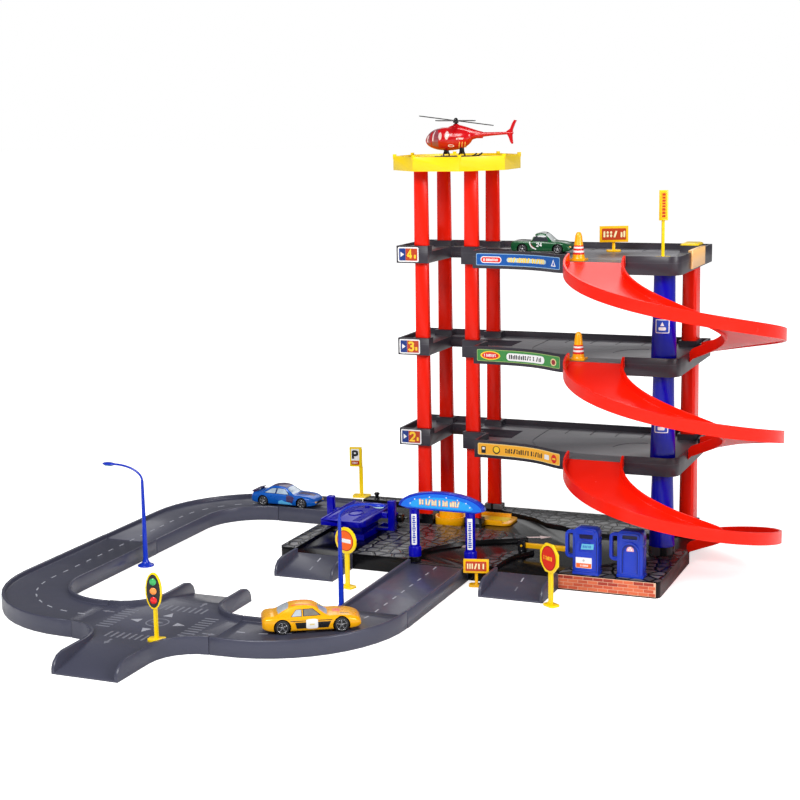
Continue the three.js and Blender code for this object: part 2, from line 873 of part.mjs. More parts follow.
// Two side walls with a rounded nose, and a floor that slopes to the ground
function slopedEnd() {
  const nose = noseShares.map(([u, v]) => [u * endLong, v * baseTop]);
  const walls = [[0, 0], [endLong, 0], ...nose, [0, baseTop]];
  const underRun = (endLong * plateUnder) / (deckRise - endLip);
  const floor = [[0, plateUnder], [underRun, 0], [endLong, 0], [endLong, endLip], [0, deckRise]];
  const floorHalf = roadHalf - roadWall + weld;
  return join(
    alongX(walls, -roadHalf, roadWall - roadHalf),
    alongX(walls, roadHalf - roadWall, roadHalf),
    alongX(floor, -floorHalf, floorHalf),
  );
}

const endBody = slopedEnd();

function addEntries() {
  add("workshop_entry", endBody, grey, [workshopX, baseFront, 0], 180);
  add("forecourt_entry", endBody, grey, [forecourtX, baseFront, 0], 180);
}

// Road along stops of [x, y, heading in degrees], with its section square to each heading
function road(stops) {
  const inner = roadHalf - roadWall;
  const section = [
    [-roadHalf, 0], [-inner, 0], [-inner, plateUnder], [inner, plateUnder], [inner, 0], [roadHalf, 0],
    [roadHalf, baseTop], [inner, baseTop], [inner, deckRise],
    [-inner, deckRise], [-inner, baseTop], [-roadHalf, baseTop],
  ];
  const rings = stops.map(([x, y, heading]) => {
    const angle = THREE.MathUtils.degToRad(heading - 90);
    return section.map(([s, z]) => [x + s * Math.cos(angle), y + s * Math.sin(angle), z]);
  });
  return skin(rings.reverse(), section);
}

function bend(x, y, startDegrees, endDegrees) {
  const side = endDegrees > startDegrees ? 90 : -90;
  return arc(x, y, roadBend, startDegrees, endDegrees, bendSteps).map(([px, py], i) => (
    [px, py, startDegrees + ((endDegrees - startDegrees) * i) / bendSteps + side]
  ));
}

// Crossing: rounded corners between the track and two sloped arms
function crossing() {
  const corner = crossingHalf - roadHalf;
  const quarters = [[1, 1, 180], [-1, 1, 270], [-1, -1, 0], [1, -1, 90]];
  const edges = quarters.map(([sx, sy, start]) => (
    arc(sx * crossingHalf, sy * crossingHalf, corner, start + 90, start, 6)
  ));
  const walls = quarters.map(([sx, sy, start], i) => upright([
    ...edges[i],
    ...arc(sx * crossingHalf, sy * crossingHalf, corner + roadWall, start, start + 90, 6),
  ], 0, baseTop));
  return join(
    upright(edges.flat(), plateUnder, deckRise),
    endBody.translate([0, crossingHalf, 0]),
    endBody.rotate([0, 0, 180]).translate([0, -crossingHalf, 0]),
    ...walls,
  );
}

function addRoads() {
  const tracks = {
    road_front_left: [
      [crossingX - crossingHalf, frontTrackY, 180],
      ...bend(leftBendX, frontBendY, 270, 180),
      [leftTrackX, leftSeamY, 90],
    ],
    road_back_left: [[leftTrackX, leftSeamY, 90], ...bend(leftBendX, backBendY, 180, 90)],
    road_back_straight: [[leftBendX, backTrackY, 0], [baseLeft, backTrackY, 0]],
    road_front_right: [
      [crossingX + crossingHalf, frontTrackY, 0],
      ...bend(rightBendX, frontBendY, 270, 360),
    ],
    road_arch_straight: [[archRoadX, frontBendY, 90], [archRoadX, baseFront, 90]],
  };
  Object.entries(tracks).forEach(([name, stops]) => add(name, road(stops), grey));
  add("road_crossing", crossing(), grey, [crossingX, frontTrackY, 0]);
}

// Well that the hoist's stem runs in, through the base and the housing
function stemWell(x, z0, z1) {
  const slack = play / 2;
  const half = hoistStemHalfWide + slack;
  const front = hoistY - hoistStemFrontOff - slack;
  return block(x - half, x + half, front, hoistY + hoistStemBackOff + slack, z0, z1);
}

const crankY = hoistY + crankOffY;
const crankZ = deckRise + crankRise;
const crankBossX = hoistPlateHalfWide + crankBossGap;
const crankKnobX = crankBossX + crankBossWide + crankKnobGap;

// Housing over the lane, with bars to two guide posts on the curbs and a boss for the crank
function addHoistFrame() {
  const half = hoistStemHalfWide + hoistHousingWall;
  const top = deckRise + hoistHousingTall;
  const back = hoistY + hoistStemBackOff + hoistHousingWall;
  const postIn = roadHalf;
  const postOut = roadHalf + 2 * hoistPostHalf;
  const front = hoistY - hoistPostHalf;
  const rear = hoistY + hoistPostHalf;
  const sides = [-1, 1].flatMap((side) => {
    const across = (near, far, z0, z1) => {
      const [x0, x1] = [side * near, side * far].sort((a, b) => a - b);
      return block(x0, x1, front, rear, z0, z1);
    };
    return [
      across(postIn, postOut, baseTop, baseTop + hoistPostTall),
      across(half - weld, postIn + weld, baseTop, top),
    ];
  });
  const bossEnd = crankBossX + crankBossWide;
  const built = join(
    block(-half, half, hoistY - hoistStemFrontOff - hoistHousingWall, back, deckRise, top),
    block(half - hoistHousingWall, half, back - weld, crankY, deckRise, top),
    block(half - weld, bossEnd, crankY - crankBossHalf, crankY, deckRise, top),
    block(crankBossX, bossEnd, crankY - crankBossHalf, crankY + crankBossHalf, deckRise, crankZ + crankBossHalf),
    ...sides,
  );
  const bore = alongX(circle(crankY, crankZ, crankRadius + slip, 12), crankBossX - overrun, bossEnd + overrun);
  add("workshop_frame", cut(built, stemWell(0, deckRise - overrun, top + overrun), bore), blue, [workshopX, 0, 0]);
}

// Plate with two ears that run between the posts, two lips for wheels, and a stem in the well
function addHoistPlatform() {
  const under = deckRise + hoistPlateRise;
  const top = under + hoistPlateThick;
  const front = hoistY - hoistPlateFrontOff;
  const back = hoistY + hoistPlateBackOff;
  const ear = roadHalf - play / 2;
  const outline = [
    [-hoistPlateHalfWide, front], [hoistPlateHalfWide - hoistPlateCorner, front],
    [hoistPlateHalfWide, front + hoistPlateCorner], [hoistPlateHalfWide, back], [-hoistPlateHalfWide, back],
  ];
  const between = hoistPlateHalfWide - hoistLipWide;
  const lips = cut(
    upright(outline, top - weld, top + hoistLipTall),
    block(-between, between, front - overrun, back + overrun, top - overrun, top + hoistLipTall + overrun),
  );
  const body = join(
    upright(outline, under, top),
    lips,
    block(-ear, ear, hoistY - hoistEarHalf, hoistY + hoistEarHalf, under, top),
    block(
      -hoistStemHalfWide, hoistStemHalfWide,
      hoistY - hoistStemFrontOff, hoistY + hoistStemBackOff, deckRise + hoistStemDip, under + weld,
    ),
  );
  add("workshop_platform", body, blue, [workshopX, 0, 0]);
}

function addCrank() {
  const knobEnd = crankKnobX + crankKnobLong;
  const body = join(
    alongX(circle(0, 0, crankRadius, 12), crankBossX, crankKnobX + weld),
    alongX(circle(0, 0, crankKnobRadius, 12), crankKnobX, knobEnd),
    alongX(circle(crankPinOff, 0, crankPinRadius, 8), knobEnd - weld, knobEnd + crankPinLong),
  );
  add("workshop_crank", body, black, [workshopX, crankY, crankZ]);
}

// Two round posts and a lens-shaped board on top of them
function addArch() {
  const y = baseFront + archInY;
  const top = baseTop + archPostTall;
  const footTop = baseTop + archFootTall;
  const post = turned([
    [0, baseTop], [archFootRadius, baseTop], [archFootRadius, footTop],
    [archPostRadius, footTop], [archPostRadius, top], [0, top],
  ], 16);
  add("arch_post_left", post, blue, [archRoadX - archHalfSpan, y, 0]);
  add("arch_post_right", post, blue, [archRoadX + archHalfSpan, y, 0]);
  const crown = arc(0, 0, 1, 0, 180, 14).map(([u, v]) => [
    u * archHalfWide, archTipRise + (archBoardTall - archTipRise) * v,
  ]);
  const board = alongY(
    [[-archFlatHalf, 0], [archFlatHalf, 0], ...crown], -archBoardThick / 2, archBoardThick / 2,
  );
  add("arch_board", board, brightBlue, [archRoadX, y, top]);
}

// Forked post, and an arm on a pin between its cheeks
function addBarrier() {
  const cheekOut = barrierForkGap / 2 + barrierCheek;
  const half = barrierArmTall / 2;
  const footTop = baseTop + barrierFootTall;
  const cheeks = cut(
    centredBlock(0, 0, barrierPostHalf, cheekOut, footTop - weld, barrierHubZ + barrierArmTall),
    centredBlock(
      0, 0, barrierPostHalf + overrun, barrierForkGap / 2, footTop, barrierHubZ + barrierArmTall + overrun,
    ),
    alongY(circle(0, barrierHubZ, barrierPinRadius + slip, 12), -cheekOut - overrun, cheekOut + overrun),
  );
  const post = join(cylinder(0, 0, barrierFootRadius, baseTop, footTop, 12), cheeks);
  const bar = [
    ...arc(0, 0, half, 90, 270, 6), ...arc(barrierArmLong - half, 0, half, 270, 450, 6),
  ];
  const arm = join(
    alongY(bar, -barrierArmThick / 2, barrierArmThick / 2),
    alongY(circle(0, 0, barrierPinRadius, 10), -cheekOut, cheekOut),
  );
  add("barrier_post", post, black, [barrierX, barrierY, 0]);
  add("barrier_arm", arm, amber, [barrierX, barrierY, barrierHubZ]);
}

// Top of a pump from its right shoulder to its left: shares of its width and its height
const pumpShoulderShares = [[0.5, 0.9], [0.44, 0.97], [0.32, 1], [-0.32, 1], [-0.46, 0.96], [-0.5, 0.88]];

// Body with an arched recess in front and a hose loop on its left
function pump(recessLow) {
  const shoulder = pumpShoulderShares.map(([u, v]) => [u * pumpWide, v * pumpTall]);
  const outline = [[-pumpWide / 2, 0], [pumpWide / 2, 0], ...shoulder];
  const hoseLeft = -pumpWide / 2 - hoseReach;
  const hoseRight = hoseReach / 2 - pumpWide / 2;
  const ring = (shrink) => roundedRectangle(
    hoseLeft + shrink, hoseRight - shrink,
    hoseMid - hoseTall / 2 + shrink, hoseMid + hoseTall / 2 - shrink, hoseReach / 2 - shrink, 3,
  );
  const half = hoseDeep / 2;
  const hose = cut(alongY(ring(0), -half, half), alongY(ring(hoseThick), -half - overrun, half + overrun));
  const recess = [
    [-recessWide / 2, recessLow], [recessWide / 2, recessLow],
    ...arc(0, recessMid, recessWide / 2, 0, 180, 6),
  ];
  const front = -pumpDeep / 2;
  return cut(
    join(alongY(outline, front, pumpDeep / 2), hose),
    alongY(recess, front - overrun, front + recessDeep),
  );
}

function addPumps() {
  const leftX = forecourtX + roadHalf + pumpOff;
  add("fuel_pump_left", pump(screenLow), blue, [leftX, baseFront + pumpLeftInY, baseTop]);
  add("fuel_pump_right", pump(alcoveLow), blue, [leftX + pumpSpacing, baseFront + pumpRightInY, baseTop]);
}

function addBollard() {
  const neck = bollardRadius - bollardHead;
  const body = turned([
    [0, 0], [bollardRadius, 0], [neck, bollardHead], [neck, bollardTall / 2],
    [bollardRadius, bollardTall - bollardHead], [neck, bollardTall], [0, bollardTall],
  ], 12);
  add("rear_bollard", body, black, [baseLeft + bollardInX, baseBack - bollardInY, baseTop]);
}

// The head's outline is given in x, and in shares of the head's height
function sign(headOutline, tall, top) {
  const foot = roundedRectangle(
    -signFootWide / 2, signFootWide / 2, -signFootDeep / 2, signFootDeep / 2, signPole, 3,
  );
  const head = headOutline.map(([x, share]) => [x, top - tall + share * tall]);
  const half = signPole / 2;
  return join(
    upright(foot, 0, signFootThick),
    centredBlock(0, 0, half, half, 0, top - signPole),
    alongY(head, weld - half - signHeadThick, weld - half),
  );
}

function roundHead(wide, sides) {
  return arc(0, 0, 1, 180 / sides, 360 + 180 / sides, sides).slice(0, sides)
    .map(([u, v]) => [(u * wide) / 2, (1 + v) / 2]);
}

function plainHead(wide, shift) {
  return rectangle(shift - wide / 2, shift + wide / 2, 0, 1);
}

function addSigns() {
  const stop = sign(roundHead(stopWide, 8), stopTall, signTall);
  add("stop_sign", stop, yellow, [forecourtX + roadHalf + stopGap, baseFront - stopOutY, 0], -34);
  const round = sign(roundHead(roundWide, 16), roundWide, signTall);
  add("no_entry_sign", round, yellow, [workshopX + roadHalf + roundGap, baseFront - roundOutY, 0], -17);
  const parking = sign(plainHead(parkingWide, parkingShift), parkingTall, signTall);
  add("parking_sign", parking, yellow, [baseLeft - parkingOutX, backTrackY + roadHalf + parkingGap, 0], 12);
  const notice = sign(plainHead(noticeWide, 0), noticeTall, noticeTop);
  add("notice_sign", notice, amber, [archRoadX + roadHalf + noticeGap, baseFront - noticeOutY, 0], 14);
  const board = sign(plainHead(boardWide, 0), boardTall, boardTop);
  add("deck_sign", board, amber, [deckRight - boardInX, deckBack - boardInY, topFloor], 22);
  const mast = sign(plainHead(mastWide, 0), mastTall, mastTop);
  add("mast_sign", mast, amber, [deckRight - mastInX, deckFront + mastInY, topFloor], 22);
  const light = sign(roundHead(lightWide, 16), lightTall, signTall);
  add("traffic_light", light, yellow, [crossingX + lightOffX, frontTrackY - lightOffY, deckRise], 10);
}

// One cone beside the way down on each of the two upper decks
function addCones() {
  const half = conePlate / 2;
  const spike = turned([
    [0, 0], [coneFootRadius, 0], [coneFootRadius, conePlateThick], [coneTipRadius, coneTall], [0, coneTall],
  ], 14);
  const body = join(centredBlock(0, 0, half, half, 0, conePlateThick), spike);
  const y = deckFront + wall + play + half;
  [2, 1].map((k) => [`cone_deck_${k + 2}`, deckLevels[k] + deckRise]).forEach(([name, z]) => {
    add(name, body, amber, [mouthLeft + half, y, z]);
  });
}

// Lamp head from the arm to its tip: shares of its length and its width
const lampHeadShares = [[0.15, 0.75], [0.5, 1], [0.85, 0.7], [1, 0.15]];
const lampFlatShare = 0.55;

// Foot, tapering pole, bowed arm and lens-shaped head in one skin
function addLamps() {
  const sides = 8;
  const ring = (x, z, degrees, halfThick, halfWide) => {
    const angle = THREE.MathUtils.degToRad(degrees);
    return circle(0, 0, 1, sides).map(([u, v]) => [
      x + u * halfThick * Math.cos(angle), v * halfWide, z + u * halfThick * Math.sin(angle),
    ]);
  };
  const poleRings = [
    [lampFootRadius, 0], [lampFootRadius, lampFootTall], [lampCollarRadius, lampCollarTop],
    [lampPoleRadius, lampTall / 3], [lampTopRadius, lampTall],
  ].map(([radius, z]) => ring(0, z, 0, radius, radius));
  const armRings = arc(-lampArmReach, lampTall, 1, 0, 90, 5).slice(1).map((_, i) => {
    const degrees = 18 * (i + 1);
    const angle = THREE.MathUtils.degToRad(degrees);
    const x = (Math.cos(angle) - 1) * lampArmReach;
    const z = lampTall + Math.sin(angle) * lampArmRise;
    return ring(x, z, degrees, lampArmRadius, lampArmRadius);
  });
  const headRings = lampHeadShares.map(([u, v]) => ring(
    -lampArmReach - u * lampHeadLong, lampTall + lampArmRise, 90,
    lampHeadHalf * lampFlatShare * v, lampHeadHalf * v,
  ));
  const body = skin([...poleRings, ...armRings, ...headRings], circle(0, 0, 1, sides));
  add("lamp_left", body, brightBlue, [leftTrackX + roadHalf + lampLeftGap, leftSeamY - lampLeftOffY, 0]);
  add("lamp_right", body, brightBlue, [archRoadX - roadHalf - lampRightGap, frontBendY + lampRightOffY, 0], 180);
}

// Cars: stations from tail to nose, in shares of the length and half width, and of the height
// for the sill's lift, the belt line and the roof:
// [along, sill lift, belt line, roof, width at the belt, width at the roof]
const sedanShares = [
  [0, 0.12, 0.42, 0.5, 0.78, 0.66], [0.04, 0.04, 0.56, 0.62, 0.92, 0.74], [0.17, 0, 0.6, 0.68, 0.98, 0.7],
  [0.3, 0, 0.6, 0.96, 1, 0.6], [0.42, 0, 0.6, 1, 1, 0.62], [0.52, 0, 0.58, 0.96, 1, 0.62],
  [0.68, 0, 0.57, 0.62, 1, 0.78], [0.86, 0, 0.52, 0.57, 0.97, 0.76], [0.96, 0.03, 0.42, 0.48, 0.86, 0.68],
  [1, 0.1, 0.3, 0.36, 0.72, 0.56],
];
const coupeShares = [
  [0, 0.14, 0.48, 0.54, 0.8, 0.68], [0.04, 0.05, 0.6, 0.66, 0.93, 0.76], [0.14, 0, 0.62, 0.7, 1, 0.72],
  [0.3, 0, 0.62, 0.96, 1, 0.58], [0.42, 0, 0.6, 1, 1, 0.6], [0.53, 0, 0.58, 0.95, 1, 0.6],
  [0.66, 0, 0.57, 0.63, 1, 0.78], [0.84, 0, 0.54, 0.6, 0.99, 0.78], [0.96, 0.03, 0.44, 0.5, 0.88, 0.7],
  [1, 0.12, 0.32, 0.38, 0.74, 0.58],
];
const pickupShares = [
  [0, 0.08, 0.5, 0.54, 0.9, 0.8], [0.03, 0, 0.56, 0.58, 0.97, 0.84], [0.36, 0, 0.58, 0.62, 1, 0.84],
  [0.4, 0, 0.58, 0.96, 1, 0.66], [0.52, 0, 0.58, 1, 1, 0.64], [0.58, 0, 0.57, 0.96, 1, 0.66],
  [0.7, 0, 0.56, 0.62, 1, 0.76], [0.88, 0, 0.5, 0.55, 0.97, 0.76], [0.97, 0.03, 0.38, 0.44, 0.88, 0.7],
  [1, 0.1, 0.28, 0.34, 0.74, 0.6],
];
const frontAxleShare = 0.3;
const rearAxleShare = -0.3;
const sillInShare = 0.93;
const beltInShare = 0.95;
const bulgeShare = 0.45;

function carBody(car) {
  const half = car.wide / 2;
  const rings = car.stationShares.map(([along, lift, beltLine, roofLine, beltWide, roofWide]) => {
    const x = (along - 1 / 2) * car.long;
    const low = car.clear + lift * car.tall;
    const belt = beltLine * car.tall;
    const mid = low + (belt - low) * bulgeShare;
    const w = beltWide * half;
    const r = roofWide * half;
    const roof = roofLine * car.tall;
    return [
      [x, -w * sillInShare, low], [x, w * sillInShare, low], [x, w, mid], [x, w * beltInShare, belt],
      [x, r, roof], [x, -r, roof], [x, -w * beltInShare, belt], [x, -w, mid],
    ];
  });
  const wells = [frontAxleShare, rearAxleShare].flatMap((share) => {
    const x = share * car.long;
    const inner = half - tyreWide - wellGap;
    const round = circle(x, car.wheel, car.wheel + wellGap, 14);
    const channel = axleRadius + slip;
    return [
      alongY(round, -half - overrun, -inner),
      alongY(round, inner, half + overrun),
      block(x - channel, x + channel, -half, half, 0, car.wheel + channel),
    ];
  });
  return cut(skin(rings, rings[0].map(([, y, z]) => [y, z])), ...wells);
}

// Two wheels on an axle, turned as one about the axle and laid across the car
function wheelSet(car) {
  const outer = car.wide / 2 - slip;
  const inner = outer - tyreWide;
  const shoulder = car.wheel - wellGap / 2;
  return turned([
    [0, -outer], [shoulder, -outer], [car.wheel, wellGap - outer], [car.wheel, -inner],
    [axleRadius, -inner], [axleRadius, inner], [car.wheel, inner], [car.wheel, outer - wellGap],
    [shoulder, outer], [0, outer],
  ], 12).rotate([90, 0, 0]);
}

function addCar(car) {
  const [x, y, z] = car.at;
  const angle = THREE.MathUtils.degToRad(car.turn);
  const wheels = wheelSet(car);
  add(`${car.name}_body`, carBody(car), car.colour, car.at, car.turn, 0.25, 0.3);
  [["front", frontAxleShare], ["rear", rearAxleShare]].forEach(([end, share]) => {
    const run = share * car.long;
    const at = [x + run * Math.cos(angle), y + run * Math.sin(angle), z + car.wheel];
    add(`${car.name}_${end}_wheels`, wheels, black, at, car.turn, 0.5);
  });
}

function addCars() {
  const coupeAngle = THREE.MathUtils.degToRad(coupeBendDegrees);
  const coupeOut = roadBend - coupeAside;
  const slotMid = (slotFront + slotBack) / 2;
  addCar({
    name: "blue_car", colour: azure, turn: 0,
    at: [leftBendX - sedanBehind, backTrackY + sedanAside, deckRise],
    long: sedanLong, wide: sedanWide, tall: sedanTall, clear: sedanClear, wheel: sedanWheel,
    stationShares: sedanShares,
  });
  addCar({
    name: "orange_car", colour: amber, turn: coupeTurnDegrees,
    at: [
      rightBendX + coupeOut * Math.sin(coupeAngle), frontBendY - coupeOut * Math.cos(coupeAngle), deckRise,
    ],
    long: coupeLong, wide: coupeWide, tall: coupeTall, clear: coupeClear, wheel: coupeWheel,
    stationShares: coupeShares,
  });
  addCar({
    name: "green_car", colour: green, turn: 0,
    at: [shaftHalfWide + slotReach + pickupGap + pickupLong / 2, slotMid - pickupAside, topFloor],
    long: pickupLong, wide: pickupWide, tall: pickupTall, clear: pickupClear, wheel: pickupWheel,
    stationShares: pickupShares,
  });
}

// Helicopter body from nose to tail: shares of its length, its half width and height, and its lift
const eggShares = [
  [0, 0.12, -0.1], [0.07, 0.45, -0.08], [0.2, 0.78, -0.03], [0.36, 0.98, 0], [0.52, 1, 0],
  [0.68, 0.88, 0.04], [0.84, 0.62, 0.2], [1, 0.3, 0.42],
];

// Skid runner from its front to its upturned rear, and its struts: shares of the body's length
const runnerFrontShare = 0.22;
const runnerRearShare = 0.98;
const runnerTipShare = 1.08;
const strutShares = [0.4, 0.72];

// Rotor blade from its root to its tip and back: shares of its length and its chord
const bladeShares = [
  [0, -0.3], [0.25, -0.5], [0.95, -0.5], [1, -0.3], [1, 0.2], [0.95, 0.5], [0.25, 0.5], [0, 0.3],
];

// Heights are taken from the pad's floor
function addHelicopterBody() {
  const unit = circle(0, 0, 1, 12);
  const rings = eggShares.map(([along, size, lift]) => unit.map(([u, v]) => [
    heliNose + along * heliLong, u * size * heliHalfWide, heliAxisRise + (v * size + lift) * heliHalfTall,
  ]));
  rings.push(unit.map(([u, v]) => [boomEnd, u * boomHalf, boomRise + v * boomHalf]));
  const finMid = boomEnd - finLong / 2;
  const fin = alongY([
    [boomEnd - finLong, boomRise - boomHalf], [finMid, finLowRise], [boomEnd, finLowRise],
    [boomEnd - finLong / 4, boomRise], [boomEnd + finLong / 2, finTopRise], [boomEnd, finTopRise],
    [boomEnd - finLong, boomRise + boomHalf],
  ], -finThick / 2, finThick / 2);
  const tilt = THREE.MathUtils.degToRad(rotorTiltDegrees);
  const mastTop = rotorRise - rotorHubTall / 2 - rotorMastRadius * Math.tan(tilt) - 2 * slip;
  const mast = turned([
    [0, heliAxisRise], [2 * rotorMastRadius, heliAxisRise], [rotorMastRadius, mastTop], [0, mastTop],
  ], 12).translate([rotorX, 0, 0]);
  add("helicopter_body", join(skin(rings, unit), fin, mast), red, [0, 0, padFloor], 0, 0.25);
}

function addSkids() {
  const along = (share) => heliNose + share * heliLong;
  const high = heliAxisRise - heliHalfTall - slip;
  const runner = [
    [along(runnerFrontShare), 0], [along(runnerRearShare), 0], [along(runnerTipShare), 2 * skidBar],
    [along(runnerTipShare) - skidBar, 2 * skidBar + skidBar / 2], [along(runnerRearShare), skidBar],
    [along(runnerFrontShare), skidBar],
  ];
  const rails = [-skidOff, skidOff].map((y) => alongY(runner, y - skidBar / 2, y + skidBar / 2));
  const outer = skidOff + skidBar / 2;
  const under = high - skidBar;
  const bow = [
    [-outer, 0], [skidBar - outer, 0], [2 * skidBar - outer, under], [outer - 2 * skidBar, under],
    [outer - skidBar, 0], [outer, 0], [outer - skidBar, high], [skidBar - outer, high],
  ];
  const struts = strutShares.map((share) => (
    alongX(bow, along(share) - skidBar / 2, along(share) + skidBar / 2)
  ));
  add("helicopter_skids", join(...rails, ...struts), black, [0, 0, padFloor]);
}

function addRotor() {
  const half = rotorHubTall / 2;
  const hub = turned([
    [0, -half], [rotorHubRadius, -half], [rotorHubRadius, half / 2], [rotorHubRadius / 2, half], [0, half],
  ], 10);
  const blade = upright(bladeShares.map(([u, v]) => [u * rotorLong, v * rotorChord]), 0, rotorThick);
  const blades = [0, 90, 180, 270].map((degrees) => blade.rotate([0, 0, degrees]));
  const body = join(hub, ...blades).rotate([0, 0, rotorTurnDegrees]).rotate([0, rotorTiltDegrees, 0]);
  add("helicopter_rotor", body, black, [rotorX, 0, padFloor + rotorRise]);
}

addBase();
addDecks();
addHelipad();
addLiftColumns();
addRearColumn();
addPillar();
addGate();
addRamps();
addLiftPlatform();
addArch();
addBarrier();
addBollard();
addHoistFrame();
addHoistPlatform();
addCrank();
addEntries();
addRoads();
addSigns();
addCones();
addLamps();
addPumps();
addCars();
addHelicopterBody();
addSkids();
addRotor();

export default garage;
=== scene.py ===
import math
import random

import bmesh
import bpy
from mathutils import Matrix, Vector
from mathutils.bvhtree import BVHTree


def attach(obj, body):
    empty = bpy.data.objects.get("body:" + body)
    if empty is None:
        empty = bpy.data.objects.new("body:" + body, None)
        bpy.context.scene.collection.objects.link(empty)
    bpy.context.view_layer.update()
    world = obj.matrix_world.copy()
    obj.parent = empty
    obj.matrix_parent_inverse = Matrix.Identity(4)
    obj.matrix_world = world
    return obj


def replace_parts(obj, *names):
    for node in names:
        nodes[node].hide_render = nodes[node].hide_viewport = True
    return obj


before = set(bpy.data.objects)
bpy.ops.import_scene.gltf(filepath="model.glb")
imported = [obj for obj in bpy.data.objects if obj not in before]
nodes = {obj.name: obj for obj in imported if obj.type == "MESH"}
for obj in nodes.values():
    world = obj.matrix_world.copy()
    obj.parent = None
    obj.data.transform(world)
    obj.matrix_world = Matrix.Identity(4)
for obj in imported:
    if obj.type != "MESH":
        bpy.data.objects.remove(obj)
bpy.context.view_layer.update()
MM = 0.001
STOREY = 100
FLOOR = 12
DECKS = (2, 3, 4)

# Camera of the photograph: turned to the right of the front, a little above, and slightly rolled
CAMERA_PLACE = Vector((0.61961, -1.66493, 0.46698))
CAMERA_AZIMUTH, CAMERA_ELEVATION, CAMERA_ROLL = 22.54, 10.243261, -1.003191
CAMERA_LENS, CAMERA_SENSOR = 73.3, 36.0
CAMERA_NEAR, CAMERA_FAR = 0.01, 100


def add_object(name, data):
    made = bpy.data.objects.new(name, data)
    bpy.context.scene.collection.objects.link(made)
    return made


def add_camera():
    a, e, r = (math.radians(v) for v in (CAMERA_AZIMUTH, CAMERA_ELEVATION, CAMERA_ROLL))
    forward = Vector((-math.sin(a) * math.cos(e), math.cos(a) * math.cos(e), -math.sin(e)))
    right = Vector((math.cos(a), math.sin(a), 0))
    up = right.cross(forward)
    across = right * math.cos(r) + up * math.sin(r)
    over = up * math.cos(r) - right * math.sin(r)
    data = bpy.data.cameras.new("camera")
    data.sensor_width, data.lens = CAMERA_SENSOR, CAMERA_LENS
    data.clip_start, data.clip_end = CAMERA_NEAR, CAMERA_FAR
    camera = add_object("camera", data)
    turn = Matrix((across, over, -forward)).transposed()
    camera.matrix_world = Matrix.Translation(CAMERA_PLACE) @ turn.to_4x4()
    bpy.context.scene.camera = camera


# Studio: a pale floor, a world that is white where it is seen, and soft lamps
FLOOR_SPAN = 30.0
FLOOR_TONE, FLOOR_GLOW = 0.86, 0.66
WORLD_FILL, WORLD_GLOSS = 0.42, 0.14
# Each lamp: name, place, what it points at, width and power
LAMPS = (
    ("key", (-0.3, -2.3, 1.9), (0, -0.1, 0.2), 1.2, 54.0),
    ("fill", (2.0, -1.0, 1.1), (0.1, -0.1, 0.2), 1.0, 30.0),
    ("rim", (-0.6, 1.9, 1.7), (0, 0, 0.2), 1.5, 12.0),
)


def new_tree(owner):
    owner.use_nodes = True
    owner.node_tree.nodes.clear()
    return owner.node_tree


def add_node(tree, kind, inputs=None, **settings):
    """Shader node; each of its inputs is given a socket or a value."""
    node = tree.nodes.new("ShaderNode" + kind)
    for key, value in settings.items():
        setattr(node, key, value)
    for key, value in (inputs or {}).items():
        if isinstance(value, bpy.types.NodeSocket):
            tree.links.new(value, node.inputs[key])
        else:
            node.inputs[key].default_value = value
    return node


def maths(tree, operation, first, second):
    return add_node(tree, "Math", {0: first, 1: second}, operation=operation).outputs[0]


def show_instead(tree, kind, unseen, seen):
    """Ends the tree: one shader for camera and transmission rays, the other for the rest."""
    rays = add_node(tree, "LightPath").outputs
    directly = maths(tree, "MAXIMUM", rays["Is Camera Ray"], rays["Is Transmission Ray"])
    mix = add_node(tree, "MixShader", {0: directly, 1: unseen, 2: seen})
    add_node(tree, "Output" + kind, {"Surface": mix.outputs[0]})


def add_world():
    """White where it is seen, and a weaker fill for what it lights and for what mirrors it."""
    world = bpy.data.worlds.new("world")
    tree = new_tree(world)
    glossy = add_node(tree, "LightPath").outputs["Is Glossy Ray"]
    less = maths(tree, "MULTIPLY", glossy, WORLD_FILL - WORLD_GLOSS)
    fill, white = (
        add_node(tree, "Background", {"Color": (1, 1, 1, 1), "Strength": strength}).outputs[0]
        for strength in (maths(tree, "SUBTRACT", WORLD_FILL, less), 1.0)
    )
    show_instead(tree, "World", fill, white)
    bpy.context.scene.world = world


def add_floor():
    mesh = bpy.data.meshes.new("floor")
    half = FLOOR_SPAN / 2
    mesh.from_pydata(lifted(box_outline(-half, half, -half, half), 0), [], [(0, 1, 2, 3)])
    material = bpy.data.materials.new("floor")
    tree = new_tree(material)
    cloth = add_node(tree, "BsdfDiffuse", {"Color": (FLOOR_TONE, FLOOR_TONE, FLOOR_TONE, 1)}).outputs[0]
    glow = add_node(tree, "Emission", {"Strength": FLOOR_GLOW}).outputs[0]
    both = add_node(tree, "AddShader", {0: cloth, 1: glow}).outputs[0]
    show_instead(tree, "Material", cloth, both)
    mesh.materials.append(material)
    add_object("floor", mesh)


def add_studio():
    add_world()
    add_floor()
    for name, place, aim, width, power in LAMPS:
        data = bpy.data.lights.new(name, "AREA")
        data.shape, data.size, data.energy = "SQUARE", width, power
        lamp = add_object(name, data)
        lamp.location = place
        lamp.rotation_mode = "QUATERNION"
        lamp.rotation_quaternion = (Vector(aim) - Vector(place)).to_track_quat("-Z", "Y")
    bpy.context.scene.view_settings.view_transform = "Standard"


# Materials: procedural nodes in each piece's own coordinates
STONE_SCALE, STONE_GAP, STONE_RANDOM = 78.0, 0.16, 0.8
STONE_LEVEL, STONE_RELIEF = 0.0162, 0.0006
FLOOR_BAND = 0.1 * MM
SMEAR = (55.0, 5.0, 0.65)


def object_place(tree):
    return add_node(tree, "TexCoord").outputs["Object"]


